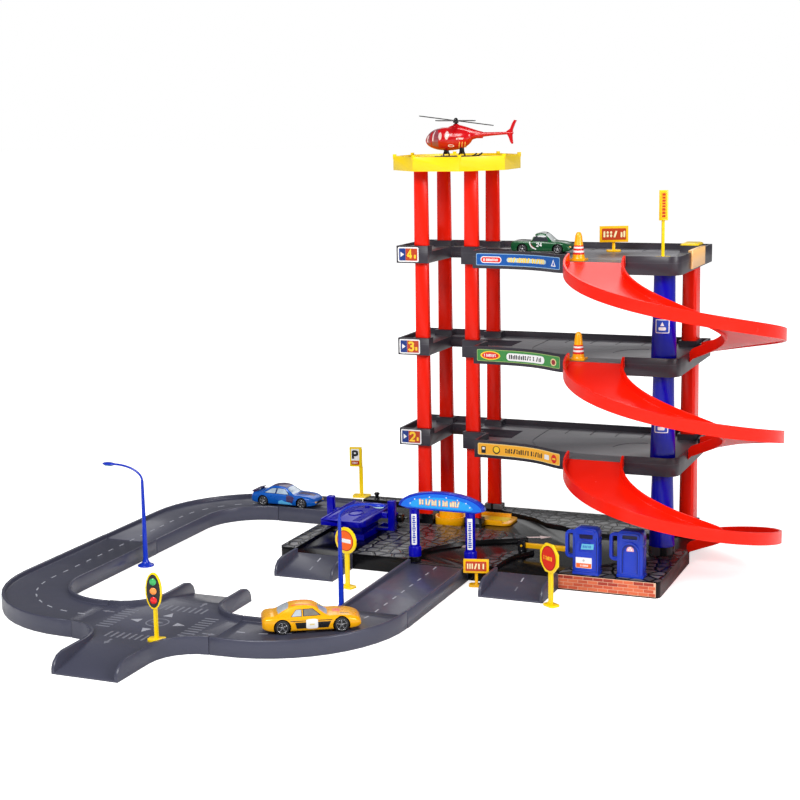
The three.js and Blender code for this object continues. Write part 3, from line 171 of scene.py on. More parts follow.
def object_noise(tree, scale, detail=3.0, roughness=0.5):
    inputs = {"Scale": scale, "Detail": detail, "Roughness": roughness, "Vector": object_place(tree)}
    return add_node(tree, "TexNoise", inputs).outputs["Fac"]


def remap(tree, source, low, high, start=0.0, end=1.0):
    inputs = {"Value": source, "From Min": start, "From Max": end, "To Min": low, "To Max": high}
    return add_node(tree, "MapRange", inputs).outputs["Result"]


def two_colours(tree, source, low, high, start=0.3, end=0.7):
    ramp = add_node(tree, "ValToRGB", {"Fac": source})
    for element, colour, position in zip(ramp.color_ramp.elements, (low, high), (start, end)):
        element.position = position
        element.color = (*colour, 1)
    return ramp.outputs["Color"]


def shades(tree, source, colour, low, high):
    """Drift between two shades of a colour."""
    darker, paler = (tuple(min(1.0, c * factor) for c in colour) for factor in (low, high))
    return two_colours(tree, source, darker, paler)


def mixed(tree, amount, first, second):
    return add_node(tree, "MixRGB", {0: amount, 1: first, 2: second}).outputs[0]


def bumped(tree, source, distance, strength=0.6, before=None):
    inputs = {"Strength": strength, "Distance": distance, "Height": source}
    if before is not None:
        inputs["Normal"] = before
    return add_node(tree, "Bump", inputs).outputs["Normal"]


def new_material(name):
    material = bpy.data.materials.new(name)
    return material, new_tree(material)


def finished(material, colour, normal, rough, coat, coat_rough=0.1, specular=0.4, metallic=0.0):
    """Shader whose gloss drifts with handling marks, under a clear skin."""
    tree = material.node_tree
    smear = object_noise(tree, *SMEAR)
    shader = add_node(tree, "BsdfPrincipled", {
        "Base Color": colour, "Normal": normal, "Roughness": remap(tree, smear, rough * 0.75, rough * 1.3),
        "Coat Weight": coat, "Coat Roughness": coat_rough, "Specular IOR Level": specular,
        "Metallic": metallic,
    })
    add_node(tree, "OutputMaterial", {"Surface": shader.outputs[0]})
    return material


def moulded(name, colour, rough, grain, vary=(0.94, 1.06), drift=(14.0, 4.0), skin=(900.0, 2.0),
            coat=0.15, **gloss):
    """Moulding with a faint drift in its colour and gloss, and a fine skin; the drift and the skin
    are each a noise's scale and detail."""
    material, tree = new_material(name)
    tint = shades(tree, object_noise(tree, *drift), colour, *vary)
    return finished(material, tint, bumped(tree, object_noise(tree, *skin), grain), rough, coat, **gloss)


def paint(name, colour):
    """Gloss paint on die-cast metal, with small chips that show a darker ground."""
    material, tree = new_material(name)
    drift = shades(tree, object_noise(tree, 40.0, 3.0), colour, 0.92, 1.06)
    dark = shades(tree, object_noise(tree, 60.0, 1.0), colour, 0.35, 0.45)
    chips = remap(tree, object_noise(tree, 420.0, 6.0, 0.7), 0.0, 1.0, 0.71, 0.74)
    grain = bumped(tree, object_noise(tree, 700.0, 2.0), 2e-5)
    return finished(material, mixed(tree, chips, drift, dark), grain, 0.28, 0.5, 0.06, metallic=0.12)


def glass(name, colour):
    """Tinted glossy plastic for the windows."""
    return moulded(name, colour, 0.12, 2e-5, (0.8, 1.15), (90.0, 3.0), (300.0, 2.0), 1.0, coat_rough=0.03)


def ink(name, colour, rough=0.28):
    return moulded(name + "_print", colour, rough, 1e-5, (0.96, 1.04), coat=0.1)


def deck_plastic():
    """Dark plastic with a painted sheen: paler on the floors of the storeys, in place of their glossy
    reflection of the surroundings.
    """
    material, tree = new_material("deck_plastic")
    height = add_node(tree, "SeparateXYZ", {0: object_place(tree)}).outputs["Z"]
    off = maths(tree, "SUBTRACT", maths(tree, "MODULO", height, STOREY * MM), FLOOR * MM)
    floor = maths(tree, "LESS_THAN", maths(tree, "ABSOLUTE", off, 0), FLOOR_BAND)
    drift = object_noise(tree, 9.0, 3.0)
    dark = shades(tree, drift, (0.036, 0.032, 0.043), 0.92, 1.06)
    # Paler floor tone: painted sheen, the reflection of the white surroundings on the glossy floors
    pale = shades(tree, drift, (0.1, 0.095, 0.112), 0.94, 1.05)
    grain = bumped(tree, object_noise(tree, 900.0, 2.0), 6e-6)
    return finished(material, mixed(tree, floor, dark, pale), grain, 0.34, 0.0, specular=0.45)


def paved_plastic():
    """The base's plastic, with moulded paving on the raised islands; the stones' paler tone is a painted
    sheen on the black cobbles, varied at random from stone to stone.
    """
    material, tree = new_material("paved_plastic")
    place = add_node(tree, "SeparateXYZ", {0: object_place(tree)}).outputs
    raised = maths(tree, "GREATER_THAN", place["Z"], STONE_LEVEL)
    flat = add_node(tree, "CombineXYZ", {"X": place["X"], "Y": place["Y"]}).outputs[0]
    edge, cell = (
        add_node(tree, "TexVoronoi", {"Scale": STONE_SCALE, "Randomness": STONE_RANDOM, "Vector": flat},
                 voronoi_dimensions="2D", feature=feature).outputs
        for feature in ("DISTANCE_TO_EDGE", "F1")
    )
    stone = remap(tree, edge["Distance"], 0.0, 1.0, STONE_GAP * 0.4, STONE_GAP)
    tone = add_node(tree, "SeparateColor", {0: cell["Color"]}).outputs[0]
    # Stones paler than the black ground: painted sheen of the glossy cobbles, with a random tone per stone
    painted_stone_sheen = two_colours(tree, tone, (0.035, 0.035, 0.04), (0.12, 0.12, 0.13), 0.0, 1.0)
    ground = shades(tree, object_noise(tree, 14.0, 4.0), DARK, 0.3, 0.5)
    tint = mixed(tree, maths(tree, "MULTIPLY", raised, stone), ground, painted_stone_sheen)
    rough_top = maths(tree, "MULTIPLY", object_noise(tree, 260.0, 4.0), 0.25)
    relief = maths(tree, "MULTIPLY", raised, maths(tree, "ADD", stone, rough_top))
    grain = bumped(tree, object_noise(tree, 900.0, 2.0), 4e-5)
    return finished(material, tint, bumped(tree, relief, STONE_RELIEF, 0.8, grain), 0.22, 0.0, specular=0.3)


DARK = (0.006, 0.006, 0.008)
RED = moulded("red_plastic", (0.88, 0.012, 0.002), 0.24, 1e-5, coat=0.04, specular=0.2)
CHERRY = moulded("cherry_plastic", (0.55, 0.002, 0.006), 0.18, 4e-6, coat=0.3)
YELLOW = moulded("yellow_plastic", (0.96, 0.66, 0.0), 0.3, 3e-6)
GOLD = moulded("gold_plastic", (1.0, 0.42, 0.0), 0.26, 4e-6)
AMBER = moulded("amber_plastic", (1.0, 0.5, 0.0), 0.3, 4e-6)
PEACH = moulded("peach_plastic", (1.0, 0.58, 0.22), 0.3, 4e-6)
BLUE = moulded("blue_plastic", (0.0, 0.0, 0.36), 0.22, 8e-6, coat=0.08, specular=0.3)
BRIGHT_BLUE = moulded("bright_blue_plastic", (0.004, 0.03, 0.46), 0.22, 8e-6)
PUMP_BLUE = moulded("pump_plastic", (0.006, 0.04, 0.5), 0.24, 8e-6)
# Near-black blue used only as painted shade on the pumps: shadow lines and the hollows under rims and round
# the handle
PUMP_SHADE = moulded("pump_shade_plastic", (0.001, 0.002, 0.045), 0.35, 8e-6)
BLACK = moulded("black_plastic", DARK, 0.26, 2e-5, (0.85, 1.15))
ROAD_GREY = moulded("road_plastic", (0.052, 0.054, 0.084), 0.34, 5e-5, (0.92, 1.08), skin=(700.0, 2.0))
RUBBER = moulded("tyre_rubber", (0.02, 0.02, 0.022), 0.55, 1e-4, (0.8, 1.2), coat=0.0)
RIM_METAL = moulded("rim_metal", (0.62, 0.62, 0.64), 0.25, 3e-5, (0.85, 1.1), (120.0, 4.0), (800.0, 3.0),
                    0.0, metallic=0.85)
DECK_BLACK = deck_plastic()
PAVED_BLACK = paved_plastic()
WHITE = ink("white", (0.86, 0.86, 0.86))
BLUE_INK = ink("blue", (0.01, 0.05, 0.45))
RED_INK = ink("red", (0.72, 0.02, 0.01))
DEEP_RED = ink("deep_red", (0.4, 0.01, 0.01))
ORANGE = ink("orange", (0.9, 0.13, 0.01))
RUST = ink("rust", (0.5, 0.05, 0.01))
YELLOW_INK = ink("yellow", (1.0, 0.62, 0.03))
BLACK_INK = ink("black", (0.012, 0.012, 0.014))
ASH = ink("ash", (0.5, 0.5, 0.5))
CREAM = ink("cream", (0.9, 0.8, 0.45))
STRAW = ink("straw", (0.75, 0.62, 0.3))
MAROON = ink("maroon", (0.3, 0.02, 0.02))
ROAD_MARK = ink("road_mark", (0.34, 0.35, 0.4), 0.4)
FAINT_MARK = ink("faint_mark", (0.17, 0.175, 0.215), 0.4)

# The CAD nodes that keep their mesh: material, width of the rounded edges, and names
EDGE, EDGE_ANGLE = 0.5, 32
WELD = 0.002
NODE_LOOKS = (
    (PAVED_BLACK, EDGE, "base"),
    (BLACK, EDGE, "rear_bollard"),
    (BLACK, 0.3, "barrier_post workshop_crank"),
    (BLACK, 0.2, "helicopter_rotor"),
    (YELLOW, EDGE, "rear_column_cap"),
    (YELLOW, 0.6, "helipad"),
    (YELLOW, 0.35, "stop_sign no_entry_sign parking_sign traffic_light mast_sign"),
    (AMBER, 0.35, "notice_sign deck_sign"),
    (AMBER, EDGE, "barrier_arm"),
    (GOLD, EDGE, "lift_platform"),
    (PEACH, EDGE, "top_deck_gate"),
    (BRIGHT_BLUE, EDGE, "arch_board"),
    (BLUE, EDGE, "workshop_frame workshop_platform"),
    (PUMP_BLUE, EDGE, "fuel_pump_left fuel_pump_right"),
    (RED, EDGE, "lift_column_front_left lift_column_rear_left lift_column_front_right"),
    (RED, EDGE, "lift_column_rear_right rear_column"),
    (DECK_BLACK, EDGE, "deck_2 deck_3 deck_4"),
    (ROAD_GREY, 0.9, "workshop_entry forecourt_entry"),
    (ROAD_GREY, 1.1, "road_front_left road_back_left road_back_straight road_front_right"),
    (ROAD_GREY, 1.1, "road_arch_straight road_crossing"),
)


def soften(piece, width, segments=2, angle=EDGE_ANGLE):
    """Rounds the sharp edges of a moulding, and shades it smooth between them."""
    bevel = piece.modifiers.new("edges", "BEVEL")
    bevel.width = width * MM
    bevel.segments = segments
    bevel.limit_method = "ANGLE"
    bevel.angle_limit = math.radians(angle)
    bevel.harden_normals = True


def finish_node(name, material, edge):
    piece = nodes[name]
    piece.data.materials.clear()
    piece.data.materials.append(material)
    for face in piece.data.polygons:
        face.use_smooth = True
    piece.modifiers.new("joined_corners", "WELD").merge_threshold = WELD * MM
    soften(piece, edge)


# Shapes, in millimetres. A relief starts a little under its face, crossing strokes rise by a hair,
# and a turned profile keeps a gap round its axis.
SIDES = (-1, 1)
SUNK = -0.1
HAIR, AXIS_GAP = 0.02, 0.02
SHORT = 1e-6
HERE = Matrix()


def turned(degrees):
    return Matrix.Rotation(math.radians(degrees), 4, "Z")


def shifted(x, y, z=0):
    return Matrix.Translation((x, y, z))


def standing(x, y, z, degrees=0.0):
    return shifted(x, y, z) @ turned(degrees)


def facing(place, at=(0, 0, 0), right=(1, 0, 0), up=(0, 0, 1)):
    """Place whose third axis points out of a face, from the face's right and up in the given place."""
    across = Vector(right).normalized()
    out = across.cross(Vector(up)).normalized()
    turn = Matrix((across, out.cross(across), out)).transposed().to_4x4()
    turn.translation = Vector(at)
    return place @ turn


def lifted(points, z):
    """Flat ring at that height."""
    return [(u, v, z) for u, v in points]


def upright(x, points):
    """Ring across the length, from points of (width, height)."""
    return [(x, y, z) for y, z in points]


def circle(sides):
    return [2 * math.pi * i / sides for i in range(sides)]


def half_circle(steps):
    return [math.pi * i / steps for i in range(steps + 1)]


def arc_points(u, v, radius, start, end, steps):
    turns = [math.radians(start + (end - start) * i / steps) for i in range(steps + 1)]
    return [(u + radius * math.cos(t), v + radius * math.sin(t)) for t in turns]


def rounded(u0, u1, v0, v1, radius, steps=4):
    corners = (
        (u1 - radius, v0 + radius, 270), (u1 - radius, v1 - radius, 0),
        (u0 + radius, v1 - radius, 90), (u0 + radius, v0 + radius, 180),
    )
    return [p for u, v, start in corners for p in arc_points(u, v, radius, start, start + 90, steps)]


def box_outline(u0, u1, v0, v1):
    return [(u0, v0), (u1, v0), (u1, v1), (u0, v1)]


def oval(u, v, wide, tall=None, sides=32):
    tall = wide if tall is None else tall
    return [(u + wide * math.cos(t), v + tall * math.sin(t)) for t in circle(sides)]


def stroke(points, width):
    """Outline of a line of that width, with mitred bends."""
    path = [Vector(p) for p in points]
    last = len(path) - 1
    left, right = [], []
    for i, point in enumerate(path):
        before = (point - path[i - 1]) if i else (path[1] - point)
        after = (path[i + 1] - point) if i < last else before
        before.normalize()
        after.normalize()
        middle = before + after
        middle = middle.normalized() if middle.length > SHORT else after
        side = Vector((-middle.y, middle.x))
        reach = width / 2 / max(0.5, abs(side.dot(Vector((-after.y, after.x)))))
        left.append(point + side * reach)
        right.append(point - side * reach)
    return [tuple(p) for p in right + left[::-1]]


def arrow(length, wide, head):
    half, shaft = wide / 2, wide * 0.36 / 2
    neck = length - head
    return [(0, -shaft), (neck, -shaft), (neck, -half), (length, 0), (neck, half), (neck, shaft), (0, shaft)]


def grown(points, by):
    """Outline with its points moved out from its middle."""
    u, v = (sum(values) / len(points) for values in zip(*points))
    return [(u + (a - u) * by, v + (b - v) * by) for a, b in points]


def mirror(points):
    return [(u, -v) for u, v in reversed(points)]


def smooth_row(rows, steps):
    """Rows of numbers, with smooth in-between rows."""
    found = []
    last = len(rows) - 1
    for i in range(last):
        a, b, c, d = rows[max(i - 1, 0)], rows[i], rows[i + 1], rows[min(i + 2, last)]
        for k in range(steps):
            t = k / steps
            found.append([
                0.5 * (2 * q + (r - p) * t + (2 * p - 5 * q + 4 * r - s) * t * t
                       + (3 * q - p - 3 * r + s) * t ** 3)
                for p, q, r, s in zip(a, b, c, d)
            ])
    return found + [list(rows[last])]


def corner_cut(ring):
    """Closed ring with each corner cut a quarter of the way along its sides."""
    return [
        [(1 - share) * a + share * b for a, b in zip(p, q)]
        for p, q in zip(ring, ring[1:] + ring[:1]) for share in (0.25, 0.75)
    ]


class Piece:
    """Gathers faces in millimetres, and becomes one mesh."""

    def __init__(self, name, place=HERE):
        self.name = name
        self.place = place
        self.points = []
        self.faces = []
        self.face_materials = []
        self.materials = []

    def add(self, points, faces, material, place=None):
        place = self.place if place is None else place
        if material not in self.materials:
            self.materials.append(material)
        start = len(self.points)
        self.points += [place @ Vector(point) for point in points]
        self.faces += [[start + i for i in face] for face in faces]
        self.face_materials += [self.materials.index(material)] * len(faces)

    def prism(self, outline, low, high, material, place=None):
        n = len(outline)
        faces = [list(reversed(range(n))), list(range(n, 2 * n))]
        faces += [[i, (i + 1) % n, n + (i + 1) % n, n + i] for i in range(n)]
        self.add(lifted(outline, low) + lifted(outline, high), faces, material, place)

    def prisms(self, outlines, low, high, material, rise=0.0):
        """Prisms of one height; where they cross, each rises a hair above the one before."""
        for k, outline in enumerate(outlines):
            self.prism(outline, low, high + rise * k, material)

    def loft(self, rings, material, place=None, capped=True):
        n, last = len(rings[0]), len(rings) - 1
        faces = []
        for a in range(0, last * n, n):
            faces += [[a + i, a + (i + 1) % n, a + n + (i + 1) % n, a + n + i] for i in range(n)]
        if capped:
            faces += [list(reversed(range(n))), [last * n + i for i in range(n)]]
        self.add([p for ring in rings for p in ring], faces, material, place)

    def lathe(self, profile, material, place=None, sides=40, capped=True):
        """Profile of (radius, height), turned about the place's third axis."""
        rings = [lifted(oval(0, 0, max(radius, AXIS_GAP), sides=sides), height) for radius, height in profile]
        self.loft(rings, material, place, capped)

    def band(self, outer, inner, low, high, material):
        """Flat ring between two outlines of as many points."""
        corners = ((outer, low), (outer, high), (inner, high), (inner, low), (outer, low))
        self.loft([lifted(ring, z) for ring, z in corners], material, None, False)

    def tube(self, path, radius, material, sides=14):
        path = [Vector(p) for p in path]
        rings = []
        side = None
        for i, point in enumerate(path):
            along = (path[min(i + 1, len(path) - 1)] - path[max(i - 1, 0)]).normalized()
            side = along.orthogonal() if side is None else side - along * side.dot(along)
            side.normalize()
            other = along.cross(side)
            rings.append([point + (side * math.cos(t) + other * math.sin(t)) * radius for t in circle(sides)])
        self.loft(rings, material)

    def surface(self):
        return BVHTree.FromPolygons(self.points, self.faces)

    def made(self):
        """The object of the faces, with their normals turned outward."""
        mesh = bpy.data.meshes.new(self.name)
        mesh.from_pydata([p * MM for p in self.points], [], self.faces)
        for material in self.materials:
            mesh.materials.append(material)
        mesh.polygons.foreach_set("material_index", self.face_materials)
        mesh.polygons.foreach_set("use_smooth", [True] * len(mesh.polygons))
        whole = bmesh.new()
        whole.from_mesh(mesh)
        bmesh.ops.recalc_face_normals(whole, faces=whole.faces)
        whole.to_mesh(mesh)
        whole.free()
        return add_object(self.name, mesh)

    def build(self, slot, edge=None, segments=2, angle=EDGE_ANGLE, body="garage"):
        """The object on its body, with rounded edges where a width is given; the slot is not used."""
        piece = self.made()
        if edge:
            soften(piece, edge, segments, angle)
        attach(piece, body)
        return piece


def add_face(name, place, rows, slot, edge=0.08):
    """Printed face, from rows of outlines, their low and high ends and their ink."""
    face = Piece(name, place)
    for row in rows:
        face.prisms(*row)
    face.build(slot, edge, 1)


def crease(piece):
    """Keeps the sharp edges of a piece that has no rounding."""
    piece.data.set_sharp_from_angle(angle=math.radians(EDGE_ANGLE))


# Prints that follow a curved surface
CLING_START, CLING_SINK = 60.0, 0.35


def cut_sheet(outline, step):
    """Flat sheet of that outline, cut into cells no wider than the step."""
    sheet = bmesh.new()
    sheet.faces.new([sheet.verts.new((u, v, 0)) for u, v in outline])
    for axis, normal in enumerate((Vector((1, 0, 0)), Vector((0, 1, 0)))):
        values = [p[axis] for p in outline]
        low, high = min(values), max(values)
        count = int((high - low) / step)
        for k in range(1, count + 1):
            spot = normal * (low + (high - low) * k / (count + 1))
            whole = list(sheet.verts) + list(sheet.edges) + list(sheet.faces)
            bmesh.ops.bisect_plane(sheet, geom=whole, plane_co=spot, plane_no=normal)
    sheet.verts.index_update()
    return sheet


def cling(piece, rows, place, target, step):
    """Prints that follow the target's surface, from rows of an outline, a material and a lift.
    Each outline, in the place's plane, is cast back along the place's third axis."""
    out = (place.to_3x3() @ Vector((0, 0, 1))).normalized()
    for outline, material, lift in rows:
        sheet = cut_sheet(outline, step)
        flats = [place @ v.co for v in sheet.verts]
        hits = [target.ray_cast(flat + out * CLING_START, -out)[0] for flat in flats]
        lowest = min((hit.dot(out) for hit in hits if hit is not None), default=0.0)
        tops = [
            (flat + out * (lowest - flat.dot(out)) if hit is None else hit) + out * lift
            for flat, hit in zip(flats, hits)
        ]
        n = len(tops)
        faces = [[v.index for v in f.verts] for f in sheet.faces]
        for edge in sheet.edges:
            if edge.is_boundary:
                a, b = (v.index for v in edge.verts)
                faces.append([a, b, n + b, n + a])
        sheet.free()
        piece.add(tops + [p - out * (lift + CLING_SINK) for p in tops], faces, material, HERE)


# Marks for the printed labels
NUMERALS = {
    "2": [
        [(0, 0.72), (0.08, 0.9), (0.3, 1), (0.7, 1), (0.92, 0.9), (1, 0.72), (0.85, 0.5), (0.08, 0), (1, 0)],
    ],
    "3": [
        [(0, 0.82), (0.2, 0.98), (0.7, 1), (0.95, 0.85), (0.9, 0.64), (0.65, 0.54), (0.35, 0.53)],
        [(0.35, 0.53), (0.7, 0.52), (0.98, 0.38), (0.98, 0.15), (0.72, 0), (0.2, 0.02), (0, 0.2)],
    ],
    "4": [[(0.68, 0), (0.68, 1), (0.02, 0.3)], [(0, 0.3), (1, 0.3)]],
    "P": [[(0, 0), (0, 1)], [(0, 0.94), (0.6, 0.94), (0.95, 0.86), (0.95, 0.56), (0.6, 0.46), (0, 0.46)]],
}


def numeral(sign, u0, v0, wide, tall, weight):
    """Outlines of a numeral or letter's strokes."""
    return [stroke([(u0 + u * wide, v0 + v * tall) for u, v in line], weight) for line in NUMERALS[sign]]


def letter_bars(u0, u1, v0, v1, seed):
    """Row of plain bars, slants and dots in place of lettering."""
    draw = random.Random(seed)
    found = []
    u = u0
    tall = v1 - v0
    while u < u1 - 0.5 * tall:
        wide = tall * draw.uniform(0.22, 0.34)
        kind = draw.choice(("bar", "bar", "pair", "slant", "dots"))
        if kind == "pair":
            found.append(rounded(u, u + wide, v0, v1 - 0.2 * tall, wide * 0.3, 2))
            u += wide * 1.5
        if kind in ("bar", "pair"):
            found.append(rounded(u, u + wide, v0, v1, wide * 0.3, 2))
        elif kind == "slant":
            found.append([(u, v0), (u + wide, v0), (u + wide * 2, v1), (u + wide, v1)])
            u += wide
        else:
            for share, size in ((0.25, 0.24), (0.76, 0.22)):
                found.append(oval(u + wide * 0.6, v0 + tall * share, wide * 0.6, tall * size, 12))
            u += wide * 0.2
        u += wide + tall * draw.uniform(0.14, 0.2)
        if draw.random() > 0.85:
            u += tall * 0.35
    return found


def lettered(u0, u1, v0, v1, seed, material, lift):
    return [(outline, material, lift) for outline in letter_bars(u0, u1, v0, v1, seed)]


# Spiral ramps: the moulding of each in fine steps, from its section of (radius, height)
RAMP_CENTRE = (264, -109.5)
RAMP_STEPS, RAMP_TURN, STOREY_TURN, RAMP_END = 104, 260, 270, 5
RAMP_SECTION = (
    (48.5, -4), (51, -4), (51, -2.5), (105, -2.5), (105, -4), (107.5, -4),
    (107.5, 8.5), (105, 8.5), (105, 0), (51, 0), (51, 7), (48.5, 7),
)


def deck_level(number):
    return STOREY * (number - 1)


def add_ramp(number):
    top = deck_level(number) + FLOOR
    cx, cy = RAMP_CENTRE
    rings = []
    for i in range(RAMP_STEPS + 1):
        degrees = RAMP_TURN * i / RAMP_STEPS
        angle = math.radians(degrees)
        drop = STOREY * degrees / STOREY_TURN
        rings.append([
            (cx - r * math.cos(angle), cy - r * math.sin(angle), top + z - drop) for r, z in RAMP_SECTION
        ])
    rings.append([(cx + RAMP_END, cy + r, top + z - STOREY) for r, z in RAMP_SECTION])
    ramp = Piece(f"ramp_moulding_{number}")
    ramp.loft(rings, RED)
    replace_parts(ramp.build("red_plastic", 0.7, 3, 40), f"spiral_ramp_{number}")


# Decks: storey numbers, long labels on the curved front, and lines moulded in the floor
BOX_LEFT, BOX_FRONT, BULGE = -53.4, -42.0, 100
LEFT, RIGHT = 49.5, 148.0
LABEL_LOW, LABEL_HIGH = 3.2, 15.6
LABEL_STEP = 2.5
CAR_DECK = 4
# Ground and rim of each deck's label
LABEL_INKS = {
    2: (ink("label_amber", (0.95, 0.45, 0.03)), ink("rim_amber", (1.0, 0.75, 0.3))),
    3: (ink("label_green", (0.04, 0.25, 0.05)), ink("rim_green", (0.35, 0.5, 0.15))),
    4: (ink("label_blue", (0.002, 0.085, 0.36)), ink("rim_blue", (0.3, 0.5, 0.7))),
}
# Rows of an outline, an ink and a lift for what is printed on each deck's label
LABEL_MARKS = {
    2: [
        (rounded(LEFT + 4, LEFT + 9, 5, 12.4, 0.8), BLACK_INK, 0.27),
        (rounded(LEFT + 5, LEFT + 8, 9, 11.4, 0.4), WHITE, 0.34),
        (oval(LEFT + 21, 9.2, 4.2), BLACK_INK, 0.27),
        (oval(LEFT + 21, 9.6, 3.2), YELLOW_INK, 0.34),
        *lettered(LEFT + 31, RIGHT - 24, 6.6, 11.8, 12, BLACK_INK, 0.27),
        (rounded(RIGHT - 20, RIGHT - 14, 6.6, 11.6, 0.6), WHITE, 0.27),
        (oval(RIGHT - 7.4, 9.2, 3.4, 4.4), RED_INK, 0.27),
        (box_outline(RIGHT - 9.4, RIGHT - 5.4, 8.4, 10), YELLOW_INK, 0.34),
    ],
    3: [
        (oval(LEFT + 15, 9.4, 11, 4.6), YELLOW_INK, 0.27),
        (oval(LEFT + 15, 9.4, 9.4, 3.6), RED_INK, 0.33),
        *lettered(LEFT + 8, LEFT + 22, 8, 11, 3, WHITE, 0.4),
        (rounded(LEFT + 33, RIGHT - 20, 5, 13, 3.6), WHITE, 0.27),
        *lettered(LEFT + 36, RIGHT - 23, 6.8, 11.4, 13, BLACK_INK, 0.34),
        (oval(RIGHT - 8, 9, 3.8), STRAW, 0.27),
        (oval(RIGHT - 8, 9, 2.6), MAROON, 0.34),
    ],
    4: [
        (rounded(LEFT + 5, LEFT + 28, 5.8, 12.6, 3.2), WHITE, 0.27),
        (rounded(LEFT + 5.8, LEFT + 27.2, 6.6, 11.8, 2.4), RED_INK, 0.33),
        *lettered(LEFT + 8, LEFT + 25, 7.8, 10.4, 4, WHITE, 0.4),
        (rounded(LEFT + 34, RIGHT - 18, 7.2, 11.6, 2), ink("glow", (0.5, 0.62, 0.62)), 0.27),
        *lettered(LEFT + 36, RIGHT - 19, 7, 12, 14, YELLOW_INK, 0.34),
        ([(RIGHT - 11, 6), (RIGHT - 5, 6), (RIGHT - 8, 13)], WHITE, 0.27),
        ([(RIGHT - 9.6, 6.9), (RIGHT - 6.4, 6.9), (RIGHT - 8, 11)], BLUE_INK, 0.34),
    ],
}
NUMBER_BLUE = ink("ink_blue", (0.006, 0.035, 0.22))


def add_storey_number(number):
    add_face(f"storey_number_{number}", facing(standing(BOX_LEFT, BOX_FRONT, deck_level(number))), [
        ([rounded(0, 24, 1.2, 17.2, 1.6)], SUNK, 0.25, WHITE),
        ([rounded(1.4, 9, 2.6, 15.8, 0.4)], 0.1, 0.32, NUMBER_BLUE),
        ([rounded(9.05, 22.6, 2.6, 15.8, 0.4)], 0.1, 0.32, RUST),
        ([[(3.2, 6.4), (7.2, 9.2), (3.2, 12)]], 0.2, 0.42, WHITE),
        (numeral(str(number), 11, 5, 5.4, 8.8, 2.2), 0.2, 0.42, YELLOW_INK, HAIR),
        ([rounded(18.6, 21, 5, 9, 0.8)], 0.2, 0.42, YELLOW_INK),
    ], "black_plastic")


def add_deck_label(number):
    mesh = nodes[f"deck_{number}"].data
    points = [v.co / MM for v in mesh.vertices]
    target = BVHTree.FromPolygons(points, [list(f.vertices) for f in mesh.polygons])
    place = facing(standing(0, BOX_FRONT - BULGE, deck_level(number)))
    ground, rim = LABEL_INKS[number]
    rows = [
        (rounded(LEFT, RIGHT, LABEL_LOW, LABEL_HIGH, 1.4), rim, 0.12),
        (rounded(LEFT + 0.6, RIGHT - 0.6, LABEL_LOW + 0.6, LABEL_HIGH - 0.6, 1), ground, 0.2),
    ]
    label = Piece(f"deck_label_{number}")
    cling(label, rows + LABEL_MARKS[number], place, target, LABEL_STEP)
    crease(label.build("black_plastic"))


def add_deck_lines(number):
    """Low ribs along the ways over the deck's floor; none where the green car rolls."""
    lines = Piece(f"deck_lines_{number}", standing(0, 0, deck_level(number) + FLOOR))
    sweep = arc_points(156.5, -20, 62, 268, 205, 14)
    if number < CAR_DECK:
        sweep += arc_points(156.5, -20, 62, 200, 180, 4) + [(94.5, 38)]
        lines.prism(stroke(arc_points(216, -42, 30, 180, 90, 12), 1.2), SUNK, 0.4, DECK_BLACK)
    lines.prism(stroke(sweep, 1.2), SUNK, 0.4, DECK_BLACK)
    for u in (118, 146, 174, 202):
        lines.prism(stroke([(u, 12), (u, 38)], 1.0), SUNK, 0.35, DECK_BLACK)
    lines.build("black_plastic", 0.15)


# Front pillar: a flared foot on each floor, and a square badge on the upper storeys
PILLAR = (249.5, -88)
PILLAR_FLOORS = ((24.5, 100), (112, 200), (212, 300))
PILLAR_FLARE = ((13, 0), (13, 1), (12.7, 4), (12.4, 16), (11.6, 40), (10.9, 64))
PILLAR_NECK, BADGE_LEVEL = 10.6, 37
BADGE = (
    (rounded(-6.8, 6.8, -6.8, 6.8, 1), WHITE, 0.12), (rounded(-6, 6, -6, 6, 0.7), BLUE_INK, 0.2),
    (rounded(-3.6, 3.6, -4, -0.8, 1), WHITE, 0.28), ([(-2, 0.4), (2, 0.4), (0, 4.4)], WHITE, 0.28),
)


def add_pillar():
    post = Piece("pillar_moulding", standing(*PILLAR, 0))
    for low, high in PILLAR_FLOORS:
        flare = [(radius, low + height) for radius, height in PILLAR_FLARE]
        post.lathe([(0, low), *flare, (PILLAR_NECK, high), (0, high)], BLUE, sides=56)
    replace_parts(post.build("blue_plastic", 0.3), "front_pillar")
    badge = Piece("pillar_badges")
    for low, _ in PILLAR_FLOORS[1:]:
        cling(badge, BADGE, facing(standing(*PILLAR, 0, 4), (0, 0, low + BADGE_LEVEL)), post.surface(), 2)
    crease(badge.build("blue_plastic"))


# Base: bricks on its front, arrows in its lanes
BRICK_LONG, BRICK_TALL, MORTAR = 9.4, 2.85, 0.55
BRICK_LEFT, BRICK_RIGHT = 172.0, 269.0
BRICK_LOW, BRICK_ROWS, BRICK_SHORTEST = 1.2, 4, 1.2
BASE_FRONT = -193.0
BRICKS = (
    ink("brick_a", (0.56, 0.09, 0.035), 0.5), ink("brick_b", (0.36, 0.04, 0.02), 0.5),
    ink("brick_c", (0.68, 0.15, 0.06), 0.5),
)
MORTAR_INK = ink("mortar", (0.8, 0.5, 0.34), 0.6)
PALE_INK = ink("pale", (0.8, 0.62, 0.6))


